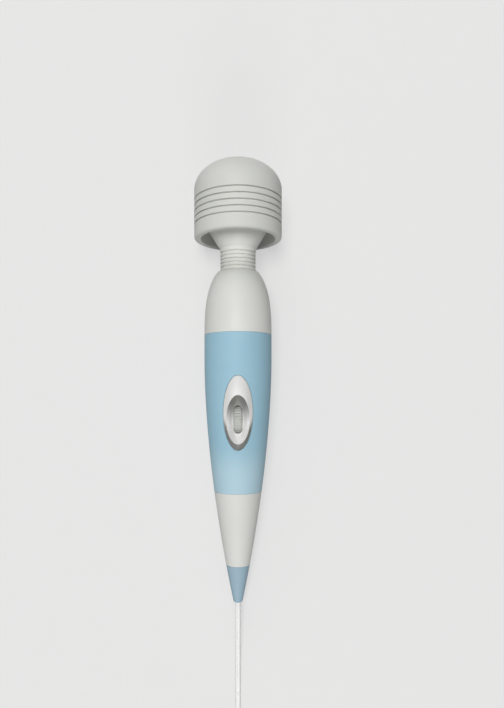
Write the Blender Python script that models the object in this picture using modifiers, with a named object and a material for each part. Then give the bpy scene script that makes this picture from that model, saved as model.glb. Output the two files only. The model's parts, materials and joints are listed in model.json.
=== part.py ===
# Handheld wand massager lying on a table: a ribbed soft head on a flexible neck, a clamshell
# handle with a soft grip band and a thumb dial, and a mains lead with its spare length coiled.
# The wand is drawn upright along its own Z axis, tail at zero, front towards -Y, and one empty
# then lays it down so that it rests on the head's rim and on the belly of the handle.
import math
import bmesh
import bpy
import numpy as np
from mathutils import Vector

MM = 0.001

# Lengths along the wand in millimetres, from the tail up
TAIL_LENGTH = 25.4
LOWER_LENGTH = 50.6
GRIP_LENGTH = 107.0
BELLY_LENGTH = 18.0
SHOULDER_LENGTH = 43.0
NECK_LENGTH = 15.5
RIM_OVERHANG = 6.9
BARREL_LENGTH = 33.6
DOME_HEIGHT = 20.3

# Radii and wall sizes
HEAD_R = 30.0
HEAD_WALL = 4.6
GRIP_R = 23.0
TAIL_R = 3.0
BOOT_NECK_R = 4.2
SLEEVE = 1.6
WALL = 2.0
GAP = 0.3
TAPER_POWER = 1.75
SHOULDER_POWER = 2.6
SHOULDER_REACH = 48.5
RIM_ROUND = 1.8

# Ribbed neck and the cone that carries the head
NECK_CREST_R = 12.2
NECK_VALLEY_R = 11.2
NECK_BORE_R = 7.6
NECK_RIBS = 6
SPIGOT_R = 9.6
FLANGE_R = 12.2
CONE_FLARE = 0.625
CONE_BEARING_R = 6.6
CONE_INSIDE = 16.6
COLLAR_LENGTH = 7.0
WELL_R = 14.0
WELL_RISE = 6.0
WEIGHT_R = 12.4
GROOVES = 5
GROOVE_INSET = 7.0
GROOVE_PITCH = 4.18
GROOVE_DEPTH = 0.8
GROOVE_HALF = 0.55

# Drive line on the wand's axis
SHAFT_R = 2.0
HUB_R = 4.9
CAN_R = 15.5
CAN_WALL = 1.2
END_CAP = 4.6
BEARING_LENGTH = 3.8
BEARING_HOLE_R = 4.9
CAN_LENGTH = 51.7
CAN_BELOW_SHOULDER = 21.0
CORE_R = 10.8
AIR_GAP = 0.5
COMMUTATOR_R = 5.0
SPRING_WIRE = 1.0
SPRING_R = 4.4
SPRING_TURNS = 6

# Thumb dial and the oval bezel around it
DIAL_BELOW_GRIP_TOP = 57.4
DIAL_R = 10.6
DIAL_WIDTH = 4.5
DIAL_RIDGES = 36
DIAL_PROUD = 1.6
BEZEL_OFFSET = 4.3
BEZEL_HALF_W = 9.6
BEZEL_HALF_L = 24.4
DISH_HALF_W = 7.7
DISH_HALF_L = 16.0
SLOT_HALF_W = 2.9
SLOT_HALF_L = 9.3
DISH_SINK = 1.9
BEZEL_RISE = 2.9
BEZEL_SKIN = 1.6

# Control board
BOARD_X = 7.5
BOARD_THICK = 1.6
POT_HALF = 5.5
CAPACITOR_R = 5.0
BOARD_LENGTH = 52.0
BOARD_BELOW_MOTOR = 7.3

# Casing screws and cord clamp
SCREW_R = 1.2
SCREW_HEAD_R = 2.6
SCREW_SEAT = 8.0
BOSS_R = 3.3
UPPER_SCREW_X = 9.0
UPPER_SCREW_DROP = 14.0
LOWER_SCREW_DROP = 10.0
CLAMP_LENGTH = 6.0
CLAMP_ABOVE_TAIL = 24.6
CLAMP_SCREW_X = 3.9
CLAMP_HALF_W = 5.8

# Mains lead: thickness, free run and coil
CORD = 3.6
CORD_PAST_CLAMP = 4.0
SAG_LENGTH = 62.0
STRAIGHT_LENGTH = 88.0
RUN_LENGTH = 152.0
COIL_IN_R = 15.1
COIL_PITCH = 4.55
COIL_LAYERS = 4
COIL_TURNS = 2.5
LAST_TURNS = 3.0
TURN_SEGMENTS = 24
TIE_THICK = 1.0
TAIL_DROP = 40.0
PLUG_LENGTH = 30.0
PLUG_HALF_W = 8.5
PLUG_HALF_H = 6.0
PIN_LENGTH = 16.0
PIN_SPREAD = 6.35

SEGMENTS = 28

# Heights that follow from the lengths
tail_z = TAIL_LENGTH
grip_low_z = tail_z + LOWER_LENGTH
grip_top_z = grip_low_z + GRIP_LENGTH
widest_z = grip_top_z - BELLY_LENGTH
shoulder_top_z = grip_top_z + SHOULDER_LENGTH
neck_top_z = shoulder_top_z + NECK_LENGTH
rim_z = neck_top_z + RIM_OVERHANG
dome_z = rim_z + BARREL_LENGTH
length = dome_z + DOME_HEIGHT
groove_top_z = dome_z - GROOVE_INSET
can_top_z = shoulder_top_z - CAN_BELOW_SHOULDER
can_low_z = can_top_z - CAN_LENGTH
dial_z = grip_top_z - DIAL_BELOW_GRIP_TOP
bezel_z = dial_z + BEZEL_OFFSET
board_top_z = can_low_z - BOARD_BELOW_MOTOR
board_low_z = board_top_z - BOARD_LENGTH
upper_screw_z = shoulder_top_z - UPPER_SCREW_DROP
lower_screw_z = grip_low_z - LOWER_SCREW_DROP
clamp_low_z = tail_z + CLAMP_ABOVE_TAIL
clamp_top_z = clamp_low_z + CLAMP_LENGTH
cord_end_z = clamp_top_z + CORD_PAST_CLAMP
neck_pivot_z = shoulder_top_z + 0.4 * NECK_LENGTH
head_pivot_z = shoulder_top_z + 0.7 * NECK_LENGTH
rotor_pivot_z = (can_low_z + can_top_z) / 2
eccentric_pivot_z = dome_z - 5


for thing in list(bpy.data.objects):
    bpy.data.objects.remove(thing, do_unlink=True)

wand = bpy.data.collections.new("wand_massager")
bpy.context.scene.collection.children.link(wand)
tools = bpy.data.collections.new("cutters")
bpy.context.scene.collection.children.link(tools)


def body_r(z):
    """Outer radius of the handle: a power-law taper to the tail and a superellipse shoulder."""
    z = np.asarray(z, float)
    low = np.clip((widest_z - z) / widest_z, 0, None) ** TAPER_POWER
    high = np.clip((z - grip_top_z) / SHOULDER_REACH, 0, None) ** SHOULDER_POWER
    return (GRIP_R - (GRIP_R - TAIL_R) * low) * (1 - high) ** (1 / SHOULDER_POWER)


def shell_r(z):
    """Outer radius of the casing where the grip sleeve is let into it."""
    return body_r(z) - SLEEVE - GAP


def inner_r(z):
    """Inner radius of the casing."""
    return shell_r(z) - WALL


def linear(hex_colour):
    """A colour written as sRGB hex, as linear red, green, blue and alpha."""
    parts = [int(hex_colour[i:i + 2], 16) / 255 for i in (0, 2, 4)]
    return [c / 12.92 if c <= 0.04045 else ((c + 0.055) / 1.055) ** 2.4 for c in parts] + [1]


def paint(thing, hex_colour, rough, metal=0.0):
    """Gives the piece a Principled material of its own."""
    mat = bpy.data.materials.new(thing.name + "_finish")
    mat.use_nodes = True
    shader = mat.node_tree.nodes["Principled BSDF"]
    shader.inputs["Base Color"].default_value = linear(hex_colour)
    shader.inputs["Roughness"].default_value = rough
    shader.inputs["Metallic"].default_value = metal
    thing.data.materials.append(mat)
    return thing


def empty(name, at, parent=None):
    """A named pivot at a point given in millimetres in its parent's frame."""
    pivot = bpy.data.objects.new(name, None)
    pivot.empty_display_size = 0.01
    pivot.location = Vector(at) * MM
    pivot.parent = parent
    wand.objects.link(pivot)
    return pivot


def add(name, verts, faces, parent, pivot=(0, 0, 0), group=wand):
    """A mesh object from points in millimetres, its origin on the pivot."""
    shift = np.asarray(pivot, float)
    mesh = bpy.data.meshes.new(name)
    mesh.from_pydata(((np.asarray(verts, float) - shift) * MM).tolist(), [], faces)
    shape = bmesh.new()
    shape.from_mesh(mesh)
    if shape.faces and shape.calc_volume(signed=True) < 0:
        bmesh.ops.reverse_faces(shape, faces=shape.faces)
    shape.to_mesh(mesh)
    shape.free()
    thing = bpy.data.objects.new(name, mesh)
    thing.location = Vector(shift - np.array(origin_of.get(parent, (0, 0, 0)))) * MM
    thing.parent = parent
    group.objects.link(thing)
    if group is tools:
        thing.hide_render = True
        thing.display_type = "WIRE"
    return thing


def turned(name, profile, parent, steps=SEGMENTS, closed=True):
    """A turned piece: (radius, height) points run down the outer side, then back up the inner."""
    rim = np.array(profile, float)
    count = len(rim)
    shift = np.array(origin_of.get(parent, (0, 0, 0)))
    points = np.stack([rim[:, 0], np.zeros(count), rim[:, 1]], 1) - shift
    edges = [(i, (i + 1) % count) for i in range(count if closed else count - 1)]
    mesh = bpy.data.meshes.new(name)
    mesh.from_pydata((points * MM).tolist(), edges, [])
    thing = bpy.data.objects.new(name, mesh)
    thing.parent = parent
    wand.objects.link(thing)
    screw = thing.modifiers.new("turn", "SCREW")
    screw.steps = steps
    screw.render_steps = steps
    screw.use_merge_vertices = True
    screw.merge_threshold = 0.00001
    screw.use_smooth_shade = False
    return thing


def ring(name, r_in, r_out, z_low, z_top, parent, steps=16):
    """A plain turned ring or bush."""
    section = [(r_in, z_top), (r_out, z_top), (r_out, z_low), (r_in, z_low)]
    return turned(name, section, parent, steps)


def lofted(name, rings, parent, pivot=(0, 0, 0)):
    """A closed ring-shaped body through equal loops of points, the last joined to the first."""
    loops = np.array(rings)
    rows, count = loops.shape[:2]
    i, j = np.meshgrid(np.arange(rows), np.arange(count), indexing="ij")
    k = (i + 1) % rows
    m = (j + 1) % count
    faces = np.stack([i * count + j, i * count + m, k * count + m, k * count + j], -1)
    return add(name, loops.reshape(-1, 3), faces.reshape(-1, 4).tolist(), parent, pivot)


def block(name, low, high, parent, group=wand, pivot=(0, 0, 0)):
    """A box between two corners."""
    pick = np.array([[i, j, k] for i in (0, 1) for j in (0, 1) for k in (0, 1)])
    verts = np.where(pick, high, low)
    faces = [(0, 1, 3, 2), (4, 6, 7, 5), (0, 4, 5, 1), (2, 3, 7, 6), (0, 2, 6, 4), (1, 5, 7, 3)]
    return add(name, verts, faces, parent, pivot, group)


def prism(name, loop, start, end, axis, parent, group=wand, pivot=(0, 0, 0)):
    """A straight-sided body: a loop of (u, v) points carried from start to end along X, Y or Z."""
    loop = np.asarray(loop, float)
    count = len(loop)
    rest = [i for i in range(3) if i != axis]
    verts = np.zeros((2 * count, 3))
    verts[:, rest] = np.tile(loop, (2, 1))
    verts[:count, axis] = start
    verts[count:, axis] = end
    sides = [(i, (i + 1) % count, count + (i + 1) % count, count + i) for i in range(count)]
    caps = [tuple(range(count))[::-1], tuple(range(count, 2 * count))]
    return add(name, verts, sides + caps, parent, pivot, group)


def oval(half_u, half_v, at_u=0.0, at_v=0.0, count=24):
    """Points of an ellipse."""
    turn = np.linspace(0, 2 * np.pi, count, endpoint=False)
    return np.stack([at_u + half_u * np.cos(turn), at_v + half_v * np.sin(turn)], 1)


def rod(name, r, start, end, axis, parent, at=(0, 0), group=wand, count=12):
    """A round rod along one axis, centred on (u, v) across it."""
    return prism(name, oval(r, r, at[0], at[1], count), start, end, axis, parent, group)


def carve(thing, cutter, how="DIFFERENCE"):
    """Cuts, joins or keeps the part common with another closed body."""
    step = thing.modifiers.new(how.lower(), "BOOLEAN")
    step.operation = how
    step.solver = "EXACT"
    step.object = cutter
    return thing


def tube(name, points, diameter, parent, resolution):
    """A round wire or lead along a line of points in millimetres, with closed ends."""
    line = bpy.data.curves.new(name, "CURVE")
    line.dimensions = "3D"
    line.bevel_depth = diameter / 2 * MM
    line.bevel_resolution = resolution
    line.use_fill_caps = True
    path = line.splines.new("POLY")
    path.points.add(len(points) - 1)
    flat = np.hstack([np.asarray(points) * MM, np.ones((len(points), 1))])
    path.points.foreach_set("co", flat.ravel())
    thing = bpy.data.objects.new(name, line)
    thing.parent = parent
    wand.objects.link(thing)
    return thing


def self_gap(points, diameter, turn_points):
    """Least clear distance between stretches of one tube at least half a turn apart."""
    far = np.linalg.norm(points[:, None] - points[None], axis=2)
    index = np.arange(len(points))
    near = np.abs(index[:, None] - index[None]) < turn_points // 2
    return far[~near].min() - diameter


def arc(start, end, half_r, half_z, r0, z0, count):
    """Points of a quarter or part of an ellipse in (radius, height), angles in degrees."""
    turn = np.radians(np.linspace(start, end, count))
    return list(zip(r0 + half_r * np.cos(turn), z0 + half_z * np.sin(turn)))


def along(radius, z_from, z_to, count):
    """(radius, height) points of a radius function between two heights."""
    heights = np.linspace(z_from, z_to, count)
    return list(zip(radius(heights), heights))


# The lying wand: the tilt at which the rim of the head and the belly of the handle both touch
rim_corner = arc(0, -90, RIM_ROUND, RIM_ROUND, HEAD_R - RIM_ROUND, rim_z + RIM_ROUND, 5)
belly_z = np.linspace(grip_low_z, grip_top_z, 600)
belly = np.stack([body_r(belly_z), belly_z], 1)


def lowest(points, tilt):
    """Height of the lowest point under the axis when the wand is tilted."""
    points = np.asarray(points)
    return (points[:, 1] * math.sin(tilt) - points[:, 0] * math.cos(tilt)).min()


lo, hi = 0.0, 0.3
for _ in range(60):
    tilt = (lo + hi) / 2
    lo, hi = (tilt, hi) if lowest(rim_corner, tilt) < lowest(belly, tilt) else (lo, tilt)
lift = -lowest(rim_corner, tilt)
dome = np.array(arc(90, 0, HEAD_R, DOME_HEIGHT, 0, dome_z, 200))
front_y = (dome[:, 1] * math.cos(tilt) + dome[:, 0] * math.sin(tilt)).max()
back_y = -TAIL_R * 0.87 * math.sin(tilt)
middle = (front_y + back_y) / 2
print(f"tilt {math.degrees(tilt):.3f} deg, tail axis {lift:.3f} mm up, middle {middle:.3f} mm")

root = empty("wand_axis", (0, -middle, lift))
root.rotation_euler = (-(math.pi / 2 - tilt), 0, 0)
neck_pivot = empty("neck_pivot", (0, 0, neck_pivot_z), root)
head_pivot = empty("head_pivot", (0, 0, head_pivot_z - neck_pivot_z), neck_pivot)
rotor_pivot = empty("rotor_pivot", (0, 0, rotor_pivot_z), root)
eccentric_pivot = empty("eccentric_pivot", (0, 0, eccentric_pivot_z - head_pivot_z), head_pivot)
dial_y = -(float(body_r(dial_z)) - DISH_SINK + DIAL_PROUD - DIAL_R)
dial_pivot = empty("dial_pivot", (0, dial_y, dial_z), root)
origin_of = {
    neck_pivot: (0, 0, neck_pivot_z),
    head_pivot: (0, 0, head_pivot_z),
    rotor_pivot: (0, 0, rotor_pivot_z),
    eccentric_pivot: (0, 0, eccentric_pivot_z),
    dial_pivot: (0, dial_y, dial_z),
}

WHITE = "DADBD6"
BLUE = "A3C9DC"

# Casing: one turned wall split into a front and a rear half
opening_r = SPIGOT_R + GAP
pocket_top = shoulder_top_z - 4.8
pocket_low = pocket_top - 4.6
boot_neck_top = tail_z + 6.6
casing_wall = (
    [(opening_r, shoulder_top_z), (float(body_r(shoulder_top_z)) - 0.5, shoulder_top_z)]
    + along(body_r, shoulder_top_z - 0.6, shoulder_top_z - 10, 4)
    + along(body_r, shoulder_top_z - 15, grip_top_z, 4)
    + along(shell_r, grip_top_z, widest_z, 2)
    + along(shell_r, widest_z - 18, grip_low_z, 5)
    + along(body_r, grip_low_z, tail_z + GAP, 4)
    + [(BOOT_NECK_R + GAP, tail_z + GAP), (BOOT_NECK_R + GAP, boot_neck_top)]
    + along(inner_r, boot_neck_top, widest_z - 18, 6)
    + along(inner_r, widest_z, grip_top_z, 2)
    + along(inner_r, grip_top_z + 13, pocket_low - 1.1, 3)
    + [(FLANGE_R + GAP, pocket_low - 0.1), (FLANGE_R + GAP, pocket_top), (opening_r, pocket_top)]
)
screw_spots = [("1", -UPPER_SCREW_X, upper_screw_z), ("2", UPPER_SCREW_X, upper_screw_z)]
screw_spots += [("3", 0.0, lower_screw_z)]
wide = 2 * GRIP_R
halves = {}
for side, sign in (("front", -1), ("rear", 1)):
    shell = turned(side + "_shell", casing_wall, root)
    low_y, high_y = sorted((sign * GAP / 2, sign * wide))
    carve(shell, block(side + "_half", (-wide, low_y, 0), (wide, high_y, length), root, tools), "INTERSECT")
    for tag, x, z in screw_spots:
        edge_r = float(body_r(z + math.copysign(BOSS_R, z - widest_z)))
        reach = math.sqrt(edge_r ** 2 - (abs(x) + BOSS_R) ** 2) - GAP
        post = rod(f"{side}_post_{tag}", BOSS_R, sign * GAP / 2, sign * reach, 1, root, (x, z), tools)
        carve(shell, post, "UNION")
    halves[side] = paint(shell, WHITE, 0.4)
clamp_pad_y = CORD / 2 + GAP
pad_top = math.sqrt(float(body_r(clamp_low_z - 1)) ** 2 - CLAMP_HALF_W ** 2) - 1
pad_low = (-CLAMP_HALF_W, clamp_pad_y, clamp_low_z - 1)
pad = block("clamp_pad", pad_low, (CLAMP_HALF_W, pad_top, clamp_top_z + 1), root, tools)
carve(halves["rear"], pad, "UNION")
for tag, x, z in screw_spots:
    pilot = rod("pilot_" + tag, SCREW_R + GAP, -9, SCREW_SEAT + 1, 1, root, (x, z), tools)
    recess = rod("recess_" + tag, SCREW_HEAD_R + GAP, SCREW_SEAT, wide, 1, root, (x, z), tools)
    carve(halves["front"], pilot)
    carve(halves["rear"], pilot)
    carve(halves["rear"], recess)
    seat = SCREW_SEAT + GAP
    screw_line = [
        (0, seat + 2.0), (1.0, seat + 2.0), (1.0, seat + 1.0), (1.6, seat + 1.0), (1.6, seat + 2.0),
        (SCREW_HEAD_R, seat + 1.7), (SCREW_HEAD_R, seat), (SCREW_R, seat), (SCREW_R, -7.6), (0, -8.4),
    ]
    screw = turned("casing_screw_" + tag, screw_line, root, 10, closed=False)
    screw.rotation_euler = (-math.pi / 2, 0, 0)
    screw.location = Vector((x, 0, z)) * MM
    paint(screw, "8C8F93", 0.35, 1.0)
hole = oval(DISH_HALF_W + GAP, DISH_HALF_L + GAP, 0, dial_z, 32)
carve(halves["front"], prism("dish_hole", hole, -wide, -0.4 * GRIP_R, 1, root, tools))

# Soft grip band, flush with the white casing at both ends
sleeve_wall = along(body_r, grip_top_z - GAP, widest_z, 2)
sleeve_wall += along(body_r, widest_z - 16, grip_low_z + GAP, 6)
sleeve_wall += [(r - SLEEVE, z) for r, z in sleeve_wall[::-1]]
sleeve = paint(turned("grip_sleeve", sleeve_wall, root), BLUE, 0.6)
hole = oval(BEZEL_HALF_W + GAP, BEZEL_HALF_L + GAP, 0, bezel_z, 40)
carve(sleeve, prism("bezel_hole", hole, -wide, -0.4 * GRIP_R, 1, root, tools))

# Oval bezel: a mound that climbs slowly from the head side, drops steeply on the tail side and
# holds a dished well with a slot for the dial
turn = np.linspace(0, 2 * np.pi, 36, endpoint=False)


def bezel_loop(half_w, half_l, at_z, rise, slot=False):
    """An oval or a round-ended slot lying a given height above the handle's own surface."""
    x = half_w * np.cos(turn)
    z = half_l * np.sin(turn)
    if slot:
        steep = np.arcsin(np.abs(np.sin(turn))) / (np.pi / 2)
        bend = np.clip(3 * steep - 2, 0, 1) * np.pi / 2
        x = half_w * np.cos(bend) * np.sign(np.round(np.cos(turn), 9))
        climb = (half_l - half_w) * np.clip(1.5 * steep, 0, 1) + half_w * np.sin(bend)
        z = climb * np.sign(np.round(np.sin(turn), 9))
    return np.stack([x, -np.sqrt((body_r(at_z + z) + rise) ** 2 - x ** 2), at_z + z], 1)


deep = -DISH_SINK - BEZEL_SKIN
bezel_rings = [bezel_loop(SLOT_HALF_W, SLOT_HALF_L, dial_z, -DISH_SINK, True)]
for share in (0.4, 0.75, 0.95, 1.0):
    half_w = SLOT_HALF_W + (DISH_HALF_W - SLOT_HALF_W) * share
    half_l = SLOT_HALF_L + (DISH_HALF_L - SLOT_HALF_L) * share
    rise = -DISH_SINK + (DISH_SINK + BEZEL_RISE) * share ** 2.2
    bezel_rings.append(bezel_loop(half_w, half_l, dial_z, rise))
for share in (0.25, 0.6, 0.9, 1.0):
    half_w = DISH_HALF_W + (BEZEL_HALF_W - DISH_HALF_W) * share
    half_l = DISH_HALF_L + (BEZEL_HALF_L - DISH_HALF_L) * share
    at_z = dial_z + (bezel_z - dial_z) * share
    rise = BEZEL_RISE * (1 - share ** 1.5) + 0.1
    bezel_rings.append(bezel_loop(half_w, half_l, at_z, rise))
bezel_rings.append(bezel_loop(BEZEL_HALF_W, BEZEL_HALF_L, bezel_z, -SLEEVE))
bezel_rings.append(bezel_loop(DISH_HALF_W, DISH_HALF_L, dial_z, -SLEEVE))
bezel_rings.append(bezel_loop(DISH_HALF_W - 0.4, DISH_HALF_L - 0.4, dial_z, -SLEEVE - 1.2))
bezel_rings.append(bezel_loop(SLOT_HALF_W, SLOT_HALF_L, dial_z, deep, True))
paint(lofted("control_bezel", bezel_rings, root), "DEDEDB", 0.35)

# Thumb dial: a ridged wheel on a stub axle held by the control potentiometer
wave = np.linspace(0, 2 * np.pi, 2 * DIAL_RIDGES, endpoint=False)
ridge_r = DIAL_R - 0.35 * (np.arange(2 * DIAL_RIDGES) % 2)


def dial_loop(r, x):
    """A loop of the dial in the plane across its axle."""
    return np.stack([np.full(wave.shape, x), dial_y + r * np.cos(wave), dial_z + r * np.sin(wave)], 1)


axle_r = 1.5
half_dial = DIAL_WIDTH / 2
dial_rings = [
    dial_loop(ridge_r, -half_dial), dial_loop(ridge_r, half_dial),
    dial_loop(axle_r + GAP, half_dial), dial_loop(axle_r + GAP, -half_dial),
]
dial_at = (0, dial_y, dial_z)
paint(lofted("speed_dial", dial_rings, dial_pivot, dial_at), "C9CBC6", 0.45)
axle_loop = oval(axle_r, axle_r, dial_y, dial_z, 16)
axle = prism("dial_axle", axle_loop, -half_dial, BOARD_X - 0.7, 0, dial_pivot, wand, dial_at)
paint(axle, "B9BBBD", 0.3, 1.0)
pot_x = half_dial + 0.7
pot_low = (pot_x, dial_y - POT_HALF, dial_z - POT_HALF)
pot_high = (BOARD_X - GAP, dial_y + POT_HALF, dial_z + POT_HALF)
pot = block("speed_potentiometer", pot_low, pot_high, root)
carve(pot, rod("axle_hole", axle_r + GAP, 0, wide, 0, root, (dial_y, dial_z), tools))
paint(pot, "3E6B4A", 0.5)

# Control board, wedged between the casing halves, and what is soldered to it
board_out = BOARD_X + BOARD_THICK
low_half = math.sqrt(float(inner_r(board_low_z)) ** 2 - board_out ** 2) - GAP
top_half = math.sqrt(float(inner_r(board_top_z)) ** 2 - board_out ** 2) - GAP
board_loop = [(-low_half, board_low_z), (low_half, board_low_z)]
board_loop += [(top_half, board_top_z), (-top_half, board_top_z)]
paint(prism("control_board", board_loop, BOARD_X, board_out, 0, root), "2F6B45", 0.5)
part_face = BOARD_X - GAP
under_dial = dial_z - DIAL_R - 1.5
cap_at = (part_face - CAPACITOR_R, -2)
cap = rod("smoothing_capacitor", CAPACITOR_R, board_low_z + 2.5, under_dial, 2, root, cap_at, wand, 20)
paint(cap, "2B3A5C", 0.4)
over_dial = dial_z + DIAL_R
rectifier_low = (part_face - 3, 4, over_dial + 1.5)
rectifier = block("bridge_rectifier", rectifier_low, (part_face, 12, over_dial + 7.5), root)
paint(rectifier, "232323", 0.5)
wire_d = 1.4
wire_x = part_face - wire_d / 2
for side, sign in (("left", -1), ("right", 1)):
    start_z = cord_end_z + 0.3
    bend = [
        (sign * 0.9, 0, start_z), (sign * 1.6, 0, start_z + 1.2), (sign * 4.6, 0, lower_screw_z - 2),
        (sign * 5.0, 0, lower_screw_z + 4), (sign * 4.6 + 0.6, sign * 2, board_low_z - 17),
        (sign * 1.5 + 4, sign * 4.6, board_low_z - 8), (wire_x, sign * 6.2, board_low_z - 1),
        (wire_x, sign * 6.2, board_low_z + 1.6),
    ]
    paint(tube("supply_wire_" + side, bend, wire_d, root, 1), "B9A27A" if sign < 0 else "7FA3C4", 0.5)
    lead_line = [(part_face - 0.6, sign * 7.5 - 5.5, board_top_z - 4 + z) for z in (0, 3, 6.2)]
    paint(tube("motor_wire_" + side, lead_line, 1.2, root, 1), "A33B35" if sign < 0 else "2C2C2C", 0.5)

# Motor: can, end cap, magnets, bearings, brushes and two rubber mounts
can_in = CAN_R - CAN_WALL
magnet_r = can_in - GAP
can_wall = [
    (BEARING_HOLE_R, can_top_z), (CAN_R - 0.7, can_top_z), (CAN_R, can_top_z - 0.7), (CAN_R, can_low_z),
    (can_in, can_low_z), (can_in, can_top_z - CAN_WALL), (BEARING_HOLE_R, can_top_z - CAN_WALL),
]
paint(turned("motor_can", can_wall, root, 20), "A9ABAD", 0.35, 1.0)
cap_top = can_low_z - GAP
cap_low = cap_top - END_CAP
cap_wall = [(BEARING_HOLE_R, cap_top), (CAN_R, cap_top), (CAN_R, cap_low + 0.8)]
cap_wall += [(CAN_R - 1, cap_low), (BEARING_HOLE_R, cap_low)]
paint(turned("motor_end_cap", cap_wall, root, 20), "2A2A2A", 0.5)
bearing_r = BEARING_HOLE_R - GAP
bore = SHAFT_R + GAP
for end, z_low in (("front", can_top_z - 2.4), ("rear", cap_low + 0.4)):
    bush = ring("motor_bearing_" + end, bore, bearing_r, z_low, z_low + BEARING_LENGTH, root)
    paint(bush, "B08D57", 0.4, 1.0)
core_low = can_low_z + 10.7
core_top = can_top_z - 8
for side, middle_angle in (("left", math.pi), ("right", 0.0)):
    sweep = middle_angle + np.radians(np.linspace(-50, 50, 11))
    loop = [(magnet_r * math.cos(t), magnet_r * math.sin(t)) for t in sweep]
    face_r = CORE_R + AIR_GAP
    loop += [(face_r * math.cos(t), face_r * math.sin(t)) for t in sweep[::-1]]
    paint(prism("motor_magnet_" + side, loop, core_low - 2, core_top + 2, 2, root), "3A3A3C", 0.6)
    sign = math.cos(middle_angle)
    x_low, x_high = sorted((sign * (COMMUTATOR_R + GAP), sign * (can_in - GAP)))
    brush_low = (x_low, -2, can_low_z + 1.7)
    paint(block("motor_brush_" + side, brush_low, (x_high, 2, can_low_z + 5.7), root), "4A4038", 0.6)
for end, z_low in (("rear", can_low_z + 1.7), ("front", can_top_z - 10)):
    outer = [(float(inner_r(z)) - GAP, z) for z in np.linspace(z_low + 6, z_low, 3)]
    mount = outer + [(CAN_R + GAP, z_low), (CAN_R + GAP, z_low + 6)]
    paint(turned("motor_mount_" + end, mount, root, 20), "303030", 0.8)

# Rotor on the motor shaft, with the lower half of the flexible coupling
collar_top = shoulder_top_z - 1
ledge = collar_top - 6
shaft = rod("motor_shaft", SHAFT_R, can_low_z - 7.3, collar_top - 0.5, 2, rotor_pivot, (0, 0), wand, 14)
paint(shaft, "B9BBBD", 0.3, 1.0)
spin = np.linspace(0, 2 * np.pi, 48, endpoint=False)
slot_r = np.where(np.arange(48) % 8 < 6, CORE_R, 6.4)


def core_loop(r, z):
    """A loop of the slotted core at one height."""
    return np.stack([r * np.cos(spin), r * np.sin(spin), np.full(48, z)], 1)


core_rings = [core_loop(slot_r, core_low), core_loop(slot_r, core_top)]
core_rings += [core_loop(bore, core_top), core_loop(bore, core_low)]
paint(lofted("armature_core", core_rings, rotor_pivot), "77797C", 0.5, 1.0)


def winding(name, r_in, z_low, z_top):
    """The wound copper head at one end of the core, round in section."""
    half_r = (CORE_R - 0.9 - r_in) / 2
    half_z = (z_top - z_low) / 2
    section = arc(180, -150, half_r, half_z, r_in + half_r, (z_low + z_top) / 2, 8)
    paint(turned(name, section, rotor_pivot, 16), "B5713C", 0.45, 1.0)


winding("winding_rear", COMMUTATOR_R + 2 * GAP, can_low_z + 6.1, core_low - GAP)
winding("winding_front", bore + 1, core_top + GAP, can_top_z - 2.9)
segments = ring("commutator", bore, COMMUTATOR_R, can_low_z + 0.7, core_low - GAP, rotor_pivot)
paint(segments, "B5713C", 0.35, 1.0)
spigot = SPRING_R - SPRING_WIRE / 2 - 0.4
collar_low = can_top_z + 5
collar_wall = [(bore, collar_top), (spigot, collar_top), (spigot, ledge)]
collar_wall += [(HUB_R, ledge), (HUB_R, collar_low), (bore, collar_low)]
paint(turned("drive_collar_lower", collar_wall, rotor_pivot, 16), "C2B280", 0.35, 1.0)
upper_low = neck_top_z + 1
upper_ledge = upper_low + 5.5
spring_low = ledge + GAP + SPRING_WIRE / 2
spring_top = upper_ledge - GAP - SPRING_WIRE / 2
steps = np.linspace(0, 1, SPRING_TURNS * 10 + 1)
swing = 2 * np.pi * SPRING_TURNS * steps
helix_z = spring_low + (spring_top - spring_low) * steps
helix = np.stack([SPRING_R * np.cos(swing), SPRING_R * np.sin(swing), helix_z], 1)
spring = tube("drive_spring", helix - np.array(origin_of[rotor_pivot]), SPRING_WIRE, rotor_pivot, 1)
paint(spring, "9A9DA0", 0.3, 1.0)
print(f"spring least gap {self_gap(helix, SPRING_WIRE, 10):.2f} mm")

# Ribbed neck sleeve, clamped in the shoulder below and in the head's cone above
cone_low = neck_top_z + GAP
cone_pocket = cone_low + 3.2
rib = (neck_top_z - shoulder_top_z - GAP) / NECK_RIBS
lip_r = FLANGE_R - 0.6
neck_wall = [(NECK_BORE_R, cone_pocket + 3.0), (lip_r, cone_pocket + 3.0), (lip_r, cone_pocket + GAP)]
neck_wall += [(SPIGOT_R, cone_pocket + GAP), (SPIGOT_R, neck_top_z)]
for i in range(NECK_RIBS):
    z = neck_top_z - i * rib
    neck_wall += [(NECK_VALLEY_R, z), (NECK_CREST_R, z - 0.3 * rib), (NECK_CREST_R, z - 0.7 * rib)]
neck_low = shoulder_top_z + GAP
neck_wall += [(NECK_VALLEY_R, neck_low), (SPIGOT_R, neck_low), (SPIGOT_R, pocket_top - GAP)]
neck_wall += [(FLANGE_R, pocket_top - GAP), (FLANGE_R, pocket_low + GAP), (NECK_BORE_R, pocket_low + GAP)]
paint(turned("neck_bellows", neck_wall, neck_pivot, 20), "D2D3CE", 0.6)

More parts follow.
